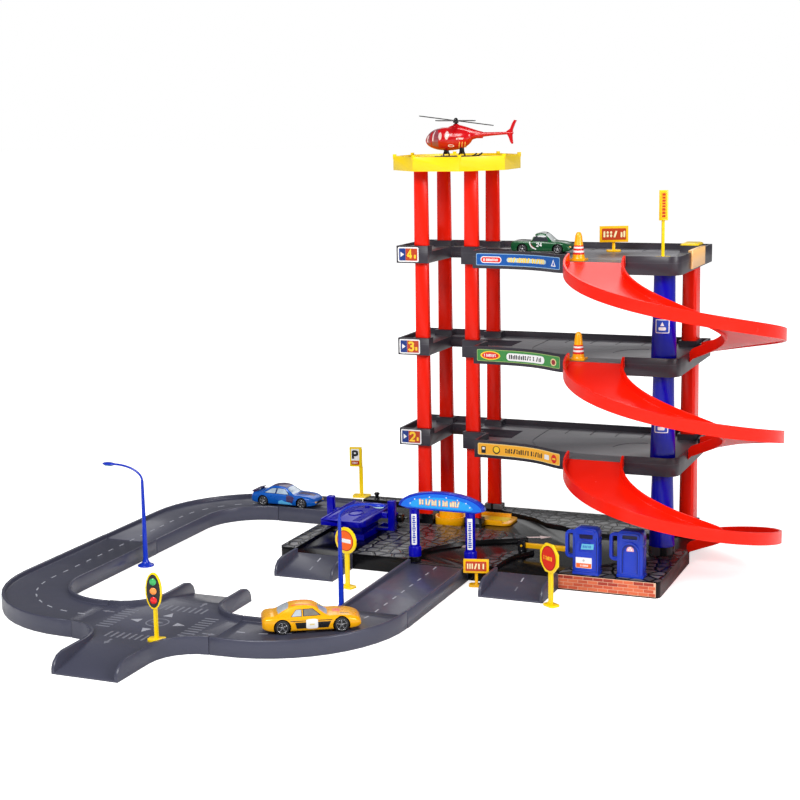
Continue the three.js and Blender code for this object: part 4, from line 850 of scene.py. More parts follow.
def add_bricks():
    draw = random.Random(7)
    wall = Piece("brick_front", facing(standing(0, BASE_FRONT, 0)))
    top = BRICK_LOW + BRICK_ROWS * (BRICK_TALL + MORTAR) + MORTAR
    wall.prism(box_outline(BRICK_LEFT, BRICK_RIGHT, BRICK_LOW, top), SUNK, 0.2, MORTAR_INK)
    for row in range(BRICK_ROWS):
        low = BRICK_LOW + MORTAR + row * (BRICK_TALL + MORTAR)
        left = BRICK_LEFT + MORTAR - (row % 2) * BRICK_LONG / 2
        while left < BRICK_RIGHT - MORTAR:
            start = max(left, BRICK_LEFT + MORTAR)
            end = min(left + BRICK_LONG, BRICK_RIGHT - MORTAR)
            if end - start > BRICK_SHORTEST:
                outline = box_outline(start, end, low, low + BRICK_TALL)
                wall.prism(outline, 0.1, 0.5 + draw.uniform(0, 0.12), draw.choice(BRICKS))
            left += BRICK_LONG + MORTAR
    wall.build("black_plastic", 0.12, 1)


def add_lane_arrows():
    marks = Piece("lane_arrows")
    for x, y, turn in ((96, -62, 22), (47, -120, 90)):
        marks.prism(arrow(28, 12, 12), SUNK, 0.15, PALE_INK, standing(x, y, FLOOR, turn))
    marks.build("black_plastic", 0.05, 1)


# Roads: the lane marks stand a little proud of the floor
DASH_LONG, DASH_WIDE, DASH_PITCH = 8, 1.5, 21
LEFT_TRACK, BACK_TRACK, FRONT_TRACK, ARCH_TRACK = -300.5, -8, -447, 47
BEND, BEND_STEPS = 92, 30
CROSS, CROSS_ARM = (-126.5, -447), 70
MARK_RISE = 0.18
ENTRY_MIDDLES, ENTRY_LONG, ENTRY_END = (-79.5, 139.5), 50, 1.6


def track_path():
    """Middle of the road, from the base's back left round to the crossing."""
    x = LEFT_TRACK + BEND
    return [
        (-130.5, BACK_TRACK), (x, BACK_TRACK),
        *arc_points(x, BACK_TRACK - BEND, BEND, 90, 180, BEND_STEPS)[1:],
        *arc_points(x, FRONT_TRACK + BEND, BEND, 180, 270, BEND_STEPS), (CROSS[0] - CROSS_ARM, FRONT_TRACK),
    ]


def right_path():
    """Middle of the road, from the crossing to the arch."""
    bend = arc_points(ARCH_TRACK - BEND, FRONT_TRACK + BEND, BEND, 270, 360, BEND_STEPS)
    return [(CROSS[0] + CROSS_ARM, FRONT_TRACK), *bend, (ARCH_TRACK, -196)]


def walk(path, start, end):
    """Points of the path between two distances from its first point."""
    found = []
    gone = 0.0
    for a, b in zip(path, path[1:]):
        a, b = Vector(a), Vector(b)
        long = (b - a).length
        if start < gone < end:
            found.append((gone, a))
        for at in (start, end):
            if gone < at < gone + long:
                found.append((at, a + (b - a) * (at - gone) / long))
        gone += long
    found.sort(key=lambda item: item[0])
    return [tuple(p) for _, p in found]


def add_dashes(name, path):
    marks = Piece(name, standing(0, 0, FLOOR))
    whole = sum((Vector(b) - Vector(a)).length for a, b in zip(path, path[1:]))
    at = DASH_PITCH / 2
    while at + DASH_LONG < whole:
        points = walk(path, at, at + DASH_LONG)
        if len(points) > 1:
            marks.prism(stroke(points, DASH_WIDE), SUNK, MARK_RISE, ROAD_MARK)
        at += DASH_PITCH
    marks.build("road_plastic", 0.06, 1)


def add_crossing_marks():
    place = standing(*CROSS, FLOOR)
    marks = Piece("crossing_marks", place)
    for turn in (0, 90, 180, 270):
        arm = place @ turned(turn)
        for k in range(-4, 5):
            marks.prism(stroke([(35, k * 6.2), (49, k * 6.2)], 2.2), SUNK, MARK_RISE, FAINT_MARK, arm)
        marks.prism([(18, -4.6), (28, 0), (18, 4.6)], SUNK, MARK_RISE, ROAD_MARK, arm)
        marks.prism(arrow(13, 6, 6), SUNK, MARK_RISE, FAINT_MARK, arm @ shifted(54, -14))
    marks.band(oval(0, 0, 11, sides=48), oval(0, 0, 9.6, sides=48), SUNK, MARK_RISE, FAINT_MARK)
    marks.prism(arrow(12, 6, 6), SUNK, MARK_RISE, FAINT_MARK, place @ shifted(-6, 0))
    marks.build("road_plastic", 0.06, 1)


def add_entry_marks():
    marks = Piece("entry_marks")
    slope = math.atan2(FLOOR - ENTRY_END, ENTRY_LONG)
    for x in ENTRY_MIDDLES:
        place = standing(x, BASE_FRONT, FLOOR) @ Matrix.Rotation(slope, 4, "X")
        for v, tone in ((-8, ROAD_MARK), (-27, FAINT_MARK)):
            marks.prism(stroke([(0, v), (0, v - DASH_LONG)], DASH_WIDE), SUNK, MARK_RISE, tone, place)
    marks.build("road_plastic", 0.06, 1)


# Arch
ARCH = (47, -180)
POST_OFF = 30
BOARD_LOW, BOARD_FRONT = 66, -3.5
ARCH_POST = ((0, 16.5), (6.4, 16.5), (6.4, 25.6), (5.9, 26.5), (5.0, 26.5), (5.0, 66), (0, 66))
ARCH_DOTS = ((-33, 6), (-28, 10.5), (31, 6), (27, 10), (-12, 13.6), (6, 14.2), (18, 12.6))


def add_arch_post(side, x):
    post = Piece(f"arch_column_{side}", standing(x, ARCH[1], 0))
    post.lathe(ARCH_POST, BLUE, sides=48)
    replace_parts(post.build("blue_plastic", 0.3), f"arch_post_{side}")
    rows = [(rounded(-2.6, 2.6, 29, 61, 0.8), WHITE, 0.12)]
    draw = random.Random(len(side))
    z = 31.0
    while z < 58:
        tall, half = draw.uniform(0.9, 1.7), draw.uniform(1.1, 1.8)
        rows.append((rounded(-half, half, z, z + tall, 0.3, 2), BLUE_INK, 0.2))
        z += tall + 0.6
    strip = Piece(f"arch_strip_{side}")
    cling(strip, rows, facing(standing(x, ARCH[1], 0, 14)), post.surface(), 1.2)
    crease(strip.build("blue_plastic"))


def dome(wide, low, tall, steps):
    return [(wide * math.cos(t), low + tall * math.sin(t)) for t in half_circle(steps)]


def add_arch_board():
    ground, sky = ink("arch_blue", (0.008, 0.16, 0.78)), ink("arch_cyan", (0.02, 0.36, 0.85))
    rows = [
        ([[(-36, 1.4), (36, 1.4)] + dome(43, 2.6, 14.4, 40)], SUNK, 0.2, ground),
        ([[(-31, 2.6), (31, 2.6)] + dome(34, 4, 9.6, 32)], 0.1, 0.26, sky),
    ]
    for u0, u1 in ((-23, -5), (-2, 7), (10, 23)):
        for outline in letter_bars(u0, u1, 5.6, 10.6, u0 + 60):
            rows += [([grown(outline, 1.3)], 0.1, 0.34, ORANGE), ([grown(outline, 1.05)], 0.2, 0.44, CREAM)]
    rows.append(([oval(u, v, 0.7, sides=10) for u, v in ARCH_DOTS], 0.1, 0.36, WHITE))
    place = facing(standing(ARCH[0], ARCH[1] + BOARD_FRONT, BOARD_LOW))
    add_face("arch_artwork", place, rows, "blue_plastic", 0.06)


# Signs: each stands at a place and a turn, and its face lies in front of the pole's middle
SIGN_FRONT, POLE_FRONT = -3.1, -1.5
STOP, NO_ENTRY, PARKING = (182, -247, 0, -34), (-24, -255.5, 0, -17), (-164, 96.9, 0, 12)
NOTICE, DECK_NOTICE, MAST = (93.5, -209, 0, 14), (172.5, 6, 312, 22), (240.5, -59, 312, 22)
TRAFFIC = (-101, -491, 12, 10)
# Heights of the traffic light's lamps, and their colours
LENSES = (
    (8.2, ink("lens_red", (0.75, 0.02, 0.02), 0.15)), (16.5, ink("lens_amber", (1.0, 0.3, 0.06), 0.15)),
    (24.8, ink("lens_green", (0.05, 0.42, 0.12), 0.15)),
)
LENS_HOOD = ((0, 0.1), (3.9, 0.1), (3.9, 0.55), (3.4, 0.55), (3.2, 0.4), (0, 0.4))
LENS = ((0, 0.2), (3.2, 0.2), (3.1, 0.6), (2.4, 1.05), (1.3, 1.3), (0, 1.4))


def sign_face(at, low):
    return facing(standing(*at), (0, SIGN_FRONT, low))


def add_round_faces():
    add_face("stop_face", sign_face(STOP, 47), [
        ([oval(0, 0, 10.6, 12)], SUNK, 0.25, DEEP_RED),
        ([oval(0, 0, 9.6, 11)], 0.1, 0.36, ink("signal_red", (0.7, 0.025, 0.01))),
        ([rounded(-8.4, 8.4, -2.4, 2.4, 0.6)], 0.2, 0.46, RED_INK),
        (letter_bars(-7.2, 7.6, -2, 2, 3), 0.3, 0.56, YELLOW_INK),
    ], "yellow_plastic")
    add_face("no_entry_face", sign_face(NO_ENTRY, 48.5), [
        ([oval(0, 0, 10.4)], SUNK, 0.25, DEEP_RED),
        ([oval(0, 0, 9.6)], 0.1, 0.36, ORANGE),
        ([rounded(-7.6, 7.6, -2, 2, 0.5)], 0.2, 0.48, WHITE),
    ], "yellow_plastic")


def add_parking_face():
    add_face("parking_face", sign_face(PARKING, 38) @ shifted(-6, 0), [
        ([rounded(-5.4, 4.4, 7.6, 21.8, 0.6)], SUNK, 0.25, WHITE),
        (numeral("P", -3.2, 9.6, 5.4, 10, 2.7), 0.2, 0.4, BLACK_INK, HAIR),
        ([rounded(-5.4, 4.4, 2.4, 7.2, 0.6)], SUNK, 0.36, RUST),
        (letter_bars(-4.2, 3.4, 3.7, 5.9, 8), 0.3, 0.46, WHITE),
    ], "yellow_plastic")


def add_word_face(name, place, wide, tall, seed):
    """Rust panel with cream bars, inside the board's own rim."""
    half = wide / 2
    add_face(name, place, [
        ([rounded(0.9 - half, half - 0.9, 0.9, tall - 0.9, 0.8)], SUNK, 0.3, RUST),
        (letter_bars(2.4 - half, half - 1.2, tall * 0.26, tall * 0.74, seed), 0.2, 0.5, CREAM),
    ], "amber_plastic")


def add_mast_face():
    rows = [([rounded(-3.2, 3.2, 1.4, 28.6, 0.8)], SUNK, 0.25, ink("mast_amber", (1.0, 0.48, 0.01)))]
    draw = random.Random(12)
    v = 3.2
    while v < 26:
        tall = draw.uniform(1.8, 3)
        rows.append(([rounded(-1.6, 1.6, v, min(v + tall, 27), 0.4, 2)], 0.2, 0.42, RUST))
        v += tall + 0.8
    add_face("mast_face", sign_face(MAST, 38), rows, "yellow_plastic")


def add_traffic_face():
    place = sign_face(TRAFFIC, 29)
    face = Piece("traffic_face", place)
    face.prism(oval(0, 16.5, 6.2, 15), SUNK, 0.3, BLACK_INK)
    for v, material in LENSES:
        for profile, tone in ((LENS_HOOD, BLACK_INK), (LENS, material)):
            face.lathe(profile, tone, place @ shifted(0, v), 28)
    face.build("yellow_plastic", 0.06, 1)


def add_sign_pole(name, at, high, foot=None):
    """Flat strip on the front of a sign's pole, with a low collar at its foot."""
    pole = Piece(name, facing(standing(*at), (0, POLE_FRONT, 0)))
    pole.prism(rounded(-2.4, 2.4, 1.4, high, 0.5), -0.6, 0.4, YELLOW)
    pole.prism(rounded(-3.4, 3.4, 1.4, 4.4, 1), -0.6, 0.9, YELLOW)
    if foot:
        pole.prism(rounded(-foot[0], foot[0], -foot[1], foot[1], 2), 0, 2.6, YELLOW, standing(*at))
    pole.build("yellow_plastic", 0.25)


def add_signs():
    add_sign_pole("stop_pole_strip", STOP, 34)
    add_sign_pole("no_entry_pole_strip", NO_ENTRY, 37)
    add_sign_pole("parking_pole_strip", PARKING, 38, (10.5, 6.5))
    add_round_faces()
    add_parking_face()
    add_word_face("notice_face", sign_face(NOTICE, 15.2), 22.4, 11.6, 31)
    add_word_face("deck_notice_face", sign_face(DECK_NOTICE, 11.6), 27, 13.8, 33)
    add_mast_face()
    add_traffic_face()


# Cones and lamps
CONE_PLACE, CONE_DECKS = (164.5, -97.5), (3, 4)
CONE_WIDE, CONE_TIP, CONE_LOW, CONE_HIGH = 6.2, 2.9, 2.0, 28.5
CONE_BANDS, BAND_RISE = (6.2, 8.2, 10.2, 12.2, 14, 15.4), 0.14
LAMP_POSTS = {"left": (-256, -253, 0, 0), "right": (2, -329, 0, 180)}
LAMP_HIGH, LAMP_RISE, LAMP_REACH, LAMP_HEAD_LONG = 91, 15, 31, 16
LAMP_PROFILE = (
    (0, 0), (8.5, 0), (8.5, 0.9), (8.1, 1.4), (6.6, 1.9), (4.6, 3.2), (3.7, 4.6), (3.5, 5.6),
    (2.6, 7.5), (2.4, 30.3), (1.9, 60), (1.5, LAMP_HIGH), (0, LAMP_HIGH),
)
LAMP_HEAD = ((-0.05, 0.25), (0.05, 0.5), (0.2, 0.8), (0.45, 1), (0.7, 0.94), (0.88, 0.66), (1, 0.15))
LAMP_LENS = ((0.9, -0.8), (1, -1.6), (0.7, -2.4), (0.2, -2.7))
LAMP_GLASS = glass("lamp_glass", (0.45, 0.75, 0.85))


def cone_radius(height):
    return CONE_WIDE + (CONE_TIP - CONE_WIDE) * (height - CONE_LOW) / (CONE_HIGH - CONE_LOW)


def add_cone(number):
    cone = Piece(f"cone_moulding_{number}", standing(*CONE_PLACE, deck_level(number) + FLOOR))
    cone.prism(rounded(-8, 8, -8, 8, 1.6), 0, 2, GOLD)
    cone.lathe([
        (0, 1.9), (6.8, 1.9), (6.4, 2.6), (cone_radius(4), 4), (cone_radius(24.5), 24.5),
        (2.7, 26.6), (2, 27.9), (1, 28.4), (0, 28.5),
    ], GOLD)
    for low, high, tone in zip(CONE_BANDS, CONE_BANDS[1:], (RED_INK, WHITE) * 3):
        wide, narrow = (cone_radius(height) + BAND_RISE for height in (low, high))
        cone.lathe([(0, low), (wide, low), (narrow, high), (0, high)], tone)
    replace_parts(cone.build("amber_plastic", 0.15), f"cone_deck_{number}")


def add_lamp_post(side):
    place = standing(*LAMP_POSTS[side])
    top = LAMP_HIGH + LAMP_RISE
    post = Piece(f"lamp_post_{side}", place)
    post.lathe(LAMP_PROFILE, BRIGHT_BLUE)
    bow = [math.pi / 2 * i / 14 for i in range(15)]
    arm = [(LAMP_REACH * (math.cos(t) - 1), 0, LAMP_HIGH + LAMP_RISE * math.sin(t)) for t in bow]
    post.tube([(0, 0, 88), *arm, (-LAMP_REACH - 1, 0, top)], 1.15, BRIGHT_BLUE)
    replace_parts(post.build("blue_plastic", 0.25, 2, 40), f"lamp_{side}")
    head = Piece(f"lamp_head_{side}", place)
    head.loft([
        upright(-LAMP_REACH - LAMP_HEAD_LONG * share, oval(0, top, 3.4 * size, 1.87 * size, 20))
        for share, size in LAMP_HEAD
    ], BRIGHT_BLUE)
    middle = -LAMP_REACH - 0.55 * LAMP_HEAD_LONG
    head.loft([lifted(oval(middle, 0, 5.4 * s, 2.5 * s, 24), top + z) for s, z in LAMP_LENS], LAMP_GLASS)
    head.build("blue_plastic")


# Fuel pumps
PUMPS = {"left": (199, -184, 16.5), "right": (242, -180, 16.5)}
PUMP_FRONT, PANEL_FRONT = -7, -5.8
PUMP_PANEL = [(-4.6, 25.2), (8, 25.8), (8.6, 31.2), (-3.4, 30.8)]
PUMP_COVER = [(-10.4, 3.4), (10.4, 3.4), (10.4, 33), (8.6, 35), (-4.6, 35), (-8.4, 32.6), (-10.4, 28)]


def add_pump_labels():
    left = [
        ([rounded(-9.6, 6.4, 6.6, 17.2, 0.6)], SUNK, 0.25, WHITE),
        ([box_outline(-9.2, 6, 7, 11.4)], 0.1, 0.32, ORANGE),
        ([oval(-1.6, 14.3, 1.2, sides=16)], 0.1, 0.36, ASH),
        (letter_bars(-5, 2.4, 8.2, 10.2, 4), 0.2, 0.42, WHITE),
        ([PUMP_PANEL], SUNK, 0.25, ink("screen", (0.12, 0.5, 0.7))),
        (letter_bars(-2.4, 6.8, 27, 29.4, 6), 0.1, 0.34, BLUE_INK),
    ]
    dots = [oval(u, v, 0.9, sides=12) for u, v in ((-1.4, 27.6), (1.2, 27.4), (0, 29.4))]
    right = [
        ([arc_points(0, 27, 3.6, 200, -20, 14)], SUNK, 0.25, ink("pink", (0.9, 0.45, 0.5))),
        (dots, 0.1, 0.32, WHITE),
    ]
    label = Piece("pump_labels")
    for side, front, rows in (("left", PUMP_FRONT, left), ("right", PANEL_FRONT, right)):
        label.place = facing(standing(*PUMPS[side]), (0, front, 0))
        for row in rows:
            label.prisms(*row)
    label.build("blue_plastic", 0.06, 1)


def add_pump_relief(side):
    """Rims, painted shadow lines, a recessed handle with painted shade in its hollow, cheeks and a plinth."""
    place = standing(*PUMPS[side])
    relief = Piece(f"pump_relief_{side}", facing(place, (0, PUMP_FRONT, 0)))
    if side == "right":
        bow = [(8.6 * math.cos(math.pi - t), 25.5 + 8.6 * math.sin(math.pi - t)) for t in half_circle(24)]
        arch = [(-8.6, 4), *bow, (8.6, 4)]
        handle = rounded(-7.4, 7.4, 38.2, 42, 1.4)
        relief.prism(stroke(arch, 1.7), SUNK, 1.1, PUMP_BLUE)
        relief.prism(stroke([(u * 0.84, 4 + (v - 4) * 0.93) for u, v in arch], 0.5), SUNK, 0.35, PUMP_SHADE)
        relief.band(rounded(-9.4, 9.4, 36.6, 43.6, 2.6), handle, SUNK, 1.2, PUMP_BLUE)
        relief.prism(handle, SUNK, 0.3, PUMP_SHADE)
    else:
        relief.prism(rounded(-9.4, 9.4, 40.6, 44.6, 1.9), SUNK, 1.4, PUMP_BLUE)
        relief.prism(rounded(-6, 7.4, 36, 40.4, 1.2), SUNK, 0.3, PUMP_SHADE)
        relief.prism(stroke(PUMP_COVER + PUMP_COVER[:1], 0.9), SUNK, 0.7, PUMP_BLUE)
        for u in (-11.2, 11.2):
            relief.prism(stroke([(u, 3), (u, 38)], 0.45), SUNK, 0.3, PUMP_SHADE)
    relief.prism(rounded(-13.2, 13.2, -7.6, 7.6, 1.2), SUNK, 2.4, PUMP_BLUE, place)
    cheek = facing(place, (12.5, 0, 0), (0, 1, 0))
    relief.prism(rounded(-4.6, 4.6, 8, 30, 1.4), SUNK, 0.6, PUMP_BLUE, cheek)
    relief.prism(rounded(-3, 3, 32, 37, 1), SUNK, 0.9, PUMP_BLUE, cheek)
    relief.build("blue_plastic", 0.2)


# Workshop hoist, lift platform and helicopter pad
PLATE = (-79.5, -95, 36)
POST_CAPS, POST_TOP = (-115.5, -43.5), 48
TRAY_FLOOR, PAD_FLOOR = 15, 411


def add_hoist_relief():
    """Wheel tracks with treads, an oval rim and a round boss on the plate."""
    place = standing(*PLATE)
    relief = Piece("hoist_relief", place)
    for u in (-14, 14):
        relief.prism(rounded(u - 4.6, u + 4.6, -46, 30, 1.4), SUNK, 0.5, BLUE)
        for k in range(-6, 5):
            relief.prism(stroke([(u - 3.4, k * 6.4), (u + 3.4, k * 6.4)], 0.9), 0.4, 0.85, BLUE)
    relief.band(oval(0, -14, 8, 12, 40), oval(0, -14, 6.4, 10.2, 40), SUNK, 0.9, BLUE)
    relief.lathe([(0, 0), (2.6, 0), (2.6, 1.1), (1.9, 1.5), (0, 1.6)], BLUE, place @ shifted(0, 16), 28)
    relief.build("blue_plastic", 0.15, body="hoist")


def add_post_caps():
    caps = Piece("workshop_post_caps")
    sizes = ((3.5, -0.6), (3.9, -0.4), (3.9, 0.8), (3.2, 1.3))
    rings = [lifted(rounded(-s, s, -s, s, 0.9), z) for s, z in sizes]
    for x in POST_CAPS:
        caps.loft(rings, BLUE, standing(x, PLATE[1], POST_TOP))
    caps.build("blue_plastic", 0.15)


def add_lift_relief():
    """Wheel tracks with treads in the tray, and a raised panel on the tongue."""
    relief = Piece("lift_relief", standing(0, 0, TRAY_FLOOR))
    for x in (-10.5, 10.5):
        relief.prism(rounded(x - 3.4, x + 3.4, -26, 21, 1.2), SUNK, 0.4, YELLOW)
        for k in range(7):
            y = -22 + 6.6 * k
            relief.prism(stroke([(x - 2.4, y), (x + 2.4, y)], 0.8), 0.3, 0.65, YELLOW)
    relief.prism(rounded(22, 60, -18, 1, 3), SUNK, 0.4, YELLOW)
    relief.build("yellow_plastic", 0.12, body="lift")


def add_pad_marks():
    """Ring and two bars moulded in the helicopter pad's floor."""
    marks = Piece("pad_marks", standing(0, 0, PAD_FLOOR))
    marks.band(oval(0, 0, 50, sides=72), oval(0, 0, 47.6, sides=72), SUNK, 0.4, YELLOW)
    for u in (-30, 30):
        marks.prism(stroke([(u, -16), (u, 16)], 3), SUNK, 0.35, YELLOW)
    marks.build("yellow_plastic", 0.15)


# Cars. Each row: share of the length, sill lift, belt height, roof height, belt width, roof width
SEDAN = (
    (0, 0.12, 0.42, 0.5, 0.78, 0.66), (0.03, 0.05, 0.54, 0.6, 0.9, 0.72),
    (0.08, 0.02, 0.58, 0.645, 0.95, 0.74), (0.17, 0, 0.6, 0.68, 0.98, 0.72), (0.25, 0, 0.6, 0.85, 1, 0.62),
    (0.32, 0, 0.6, 0.96, 1, 0.6), (0.42, 0, 0.6, 1, 1, 0.62), (0.52, 0, 0.58, 0.95, 1, 0.62),
    (0.6, 0, 0.57, 0.78, 1, 0.68), (0.67, 0, 0.57, 0.63, 1, 0.78), (0.78, 0, 0.55, 0.61, 0.99, 0.78),
    (0.88, 0, 0.52, 0.58, 0.96, 0.76), (0.94, 0.02, 0.46, 0.52, 0.9, 0.72),
    (0.98, 0.06, 0.38, 0.44, 0.81, 0.64), (1, 0.1, 0.3, 0.36, 0.72, 0.56),
)
COUPE = (
    (0, 0.14, 0.48, 0.54, 0.8, 0.68), (0.03, 0.07, 0.58, 0.64, 0.91, 0.75),
    (0.08, 0.02, 0.61, 0.68, 0.97, 0.75), (0.14, 0, 0.62, 0.7, 1, 0.72), (0.22, 0, 0.62, 0.86, 1, 0.62),
    (0.3, 0, 0.62, 0.97, 1, 0.58), (0.42, 0, 0.6, 1, 1, 0.6), (0.52, 0, 0.58, 0.95, 1, 0.6),
    (0.59, 0, 0.57, 0.79, 1, 0.68), (0.66, 0, 0.57, 0.64, 1, 0.78), (0.76, 0, 0.56, 0.63, 1, 0.8),
    (0.87, 0, 0.53, 0.6, 0.98, 0.78), (0.94, 0.02, 0.47, 0.54, 0.92, 0.74),
    (0.98, 0.06, 0.4, 0.47, 0.83, 0.66), (1, 0.12, 0.32, 0.38, 0.74, 0.58),
)
PICKUP = (
    (0, 0.08, 0.5, 0.54, 0.9, 0.8), (0.03, 0, 0.57, 0.59, 0.97, 0.84), (0.12, 0, 0.59, 0.61, 0.99, 0.84),
    (0.33, 0, 0.58, 0.61, 1, 0.84), (0.375, 0, 0.58, 0.8, 1, 0.74), (0.41, 0, 0.58, 0.95, 1, 0.66),
    (0.48, 0, 0.58, 1, 1, 0.64), (0.56, 0, 0.57, 0.97, 1, 0.65), (0.63, 0, 0.565, 0.8, 1, 0.7),
    (0.7, 0, 0.56, 0.62, 1, 0.76), (0.8, 0, 0.53, 0.59, 0.99, 0.77), (0.89, 0, 0.49, 0.55, 0.97, 0.76),
    (0.96, 0.03, 0.39, 0.45, 0.89, 0.7), (0.99, 0.07, 0.32, 0.38, 0.79, 0.63),
    (1, 0.1, 0.28, 0.34, 0.74, 0.6),
)
CARS = {
    "blue_car": {
        "at": (-211.5, -9, 12, 0), "long": 82, "wide": 31, "tall": 23.5, "clear": 2.4, "wheel": 5.7,
        "rows": SEDAN, "slot": "blue_paint", "colour": (0.0, 0.1, 0.5),
    },
    "orange_car": {
        "at": (11.341, -414.579, 12, 29.5), "long": 87, "wide": 34, "tall": 24, "clear": 2.5, "wheel": 6.5,
        "rows": COUPE, "slot": "orange_paint", "colour": (1.0, 0.44, 0.0),
    },
    "green_car": {
        "at": (104.5, -23, 312, 0), "long": 64, "wide": 27, "tall": 21.5, "clear": 2.2, "wheel": 4.8,
        "rows": PICKUP, "slot": "green_paint", "colour": (0.003, 0.085, 0.024),
    },
}
CAR_STEPS = 7
AXLES = (("front", 0.3), ("rear", -0.3))
TYRE_WIDE, WELL_GAP, WELL_DEEP = 5, 1.2, 12
SEAL = 1.14
PLUM = paint("plum_paint", (0.06, 0.03, 0.11))
PALE_GLASS, SMOKE_GLASS = glass("pale_glass", (0.5, 0.56, 0.62)), glass("smoke_glass", (0.2, 0.19, 0.17))
BLUE_GLASS, DARK_GLASS = glass("blue_glass", (0.4, 0.5, 0.62)), glass("dark_glass", (0.03, 0.035, 0.045))
HEAD_LENS, TAIL_LENS = glass("head_lens", (0.8, 0.5, 0.15)), glass("tail_lens", (0.6, 0.02, 0.02))


def car_ring(car, row):
    along, lift, belt_line, roof_line, belt_wide, roof_wide = row
    half, tall = car["wide"] / 2, car["tall"]
    low = car["clear"] + lift * tall
    belt, roof = belt_line * tall, roof_line * tall
    w, r = belt_wide * half, roof_wide * half
    flank, glass_rise = belt - low, roof - belt
    side = [
        (0.9 * w, low), (w * 0.985, low + 0.12 * flank), (w, low + 0.5 * flank),
        (w * 0.985, belt - 0.1 * flank), (w * 0.94, belt + 0.06 * glass_rise),
        (r + 0.28 * (w - r), belt + 0.5 * glass_rise), (r, roof - 0.12 * glass_rise),
        (r * 0.9, roof), (r * 0.5, roof + 0.012 * tall),
    ]
    ring = [(0, low)] + side + [(0, roof + 0.018 * tall)] + [(-y, z) for y, z in reversed(side)]
    return upright((along - 0.5) * car["long"], corner_cut(corner_cut(ring)))


def well_cutter(name, car, place):
    cutter = Piece(f"{name}_cutter")
    inner = car["wide"] / 2 - TYRE_WIDE - WELL_GAP
    reach = car["wheel"] + WELL_GAP
    for _, share in AXLES:
        for side in SIDES:
            spot = facing(place, (share * car["long"], side * inner, car["wheel"]), (1, 0, 0), (0, 0, -side))
            # The cutter's black lines the wells: painted shade round the wheels
            cutter.lathe([(0, 0), (reach, 0), (reach, WELL_DEEP), (0, WELL_DEEP)], BLACK, spot, 48)
    return cutter.made()


def cut_wells(built, tool):
    """Cuts the four wheel wells out of the car's shell; the cut faces take the cutter's black, a painted
    shade inside the wheel arches.
    """
    cut = built.modifiers.new("wheel_wells", "BOOLEAN")
    cut.operation, cut.solver, cut.material_mode = "DIFFERENCE", "EXACT", "TRANSFER"
    cut.object = tool
    view = bpy.context.evaluated_depsgraph_get()
    result = bpy.data.meshes.new_from_object(built.evaluated_get(view), depsgraph=view)
    built.modifiers.clear()
    built.data = result
    bpy.data.objects.remove(tool, do_unlink=True)


def add_car_shell(name, car):
    """Adds the shell with its wells, and gives its uncut surface for the prints."""
    place = standing(*car["at"])
    shell = Piece(f"{name}_shell", place)
    rings = [car_ring(car, row) for row in smooth_row(car["rows"], CAR_STEPS)]
    shell.loft(rings, paint(car["slot"], car["colour"]))
    built = shell.made()
    cut_wells(built, well_cutter(name, car, place))
    crease(built)
    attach(built, name)
    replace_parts(built, f"{name}_body")
    return shell.surface()


def add_wheel(wheels, r, spot):
    """Tyre, rim ring, five spokes and a hub cap."""
    wide = TYRE_WIDE
    wheels.lathe([
        (0, 0), (r - 0.6, 0), (r - 0.1, 0.5), (r, 1), (r, wide - 1), (r - 0.1, wide - 0.5), (r - 0.7, wide),
        (0.74 * r, wide), (0.72 * r, wide - 0.7), (0, wide - 0.7),
    ], RUBBER, spot)
    wheels.lathe([
        (0.74 * r, wide - 0.8), (0.74 * r, wide - 0.05), (0.69 * r, wide - 0.05), (0.66 * r, wide - 0.4),
        (0.66 * r, wide - 0.8),
    ], RIM_METAL, spot, 40, False)
    blade = [(0.1 * r, -0.1 * r), (0.69 * r, -0.06 * r), (0.69 * r, 0.06 * r), (0.1 * r, 0.1 * r)]
    for k in range(5):
        wheels.prism(blade, wide - 0.8, wide - 0.25, RIM_METAL, spot @ turned(72 * k + 20))
    wheels.lathe([
        (0, wide - 0.8), (0.2 * r, wide - 0.8), (0.18 * r, wide - 0.15), (0.08 * r, wide), (0, wide),
    ], RIM_METAL, spot, 20)


def add_wheels(name, car):
    place = standing(*car["at"])
    outer = car["wide"] / 2 - 0.3
    r = car["wheel"]
    for end, share in AXLES:
        x = share * car["long"]
        wheels = Piece(f"{name}_{end}_wheel_pair")
        for side in SIDES:
            add_wheel(wheels, r, facing(place, (x, side * (outer - TYRE_WIDE), r), (-side, 0, 0)))
        axle = [(0, 4 - outer), (1, 4 - outer), (1, outer - 4), (0, outer - 4)]
        wheels.lathe(axle, RIM_METAL, facing(place, (x, 0, r)), 16)
        built = wheels.build("wheel_plastic", 0.12, 1, body=f"{name}_{end}_wheels")
        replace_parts(built, f"{name}_{end}_wheels")


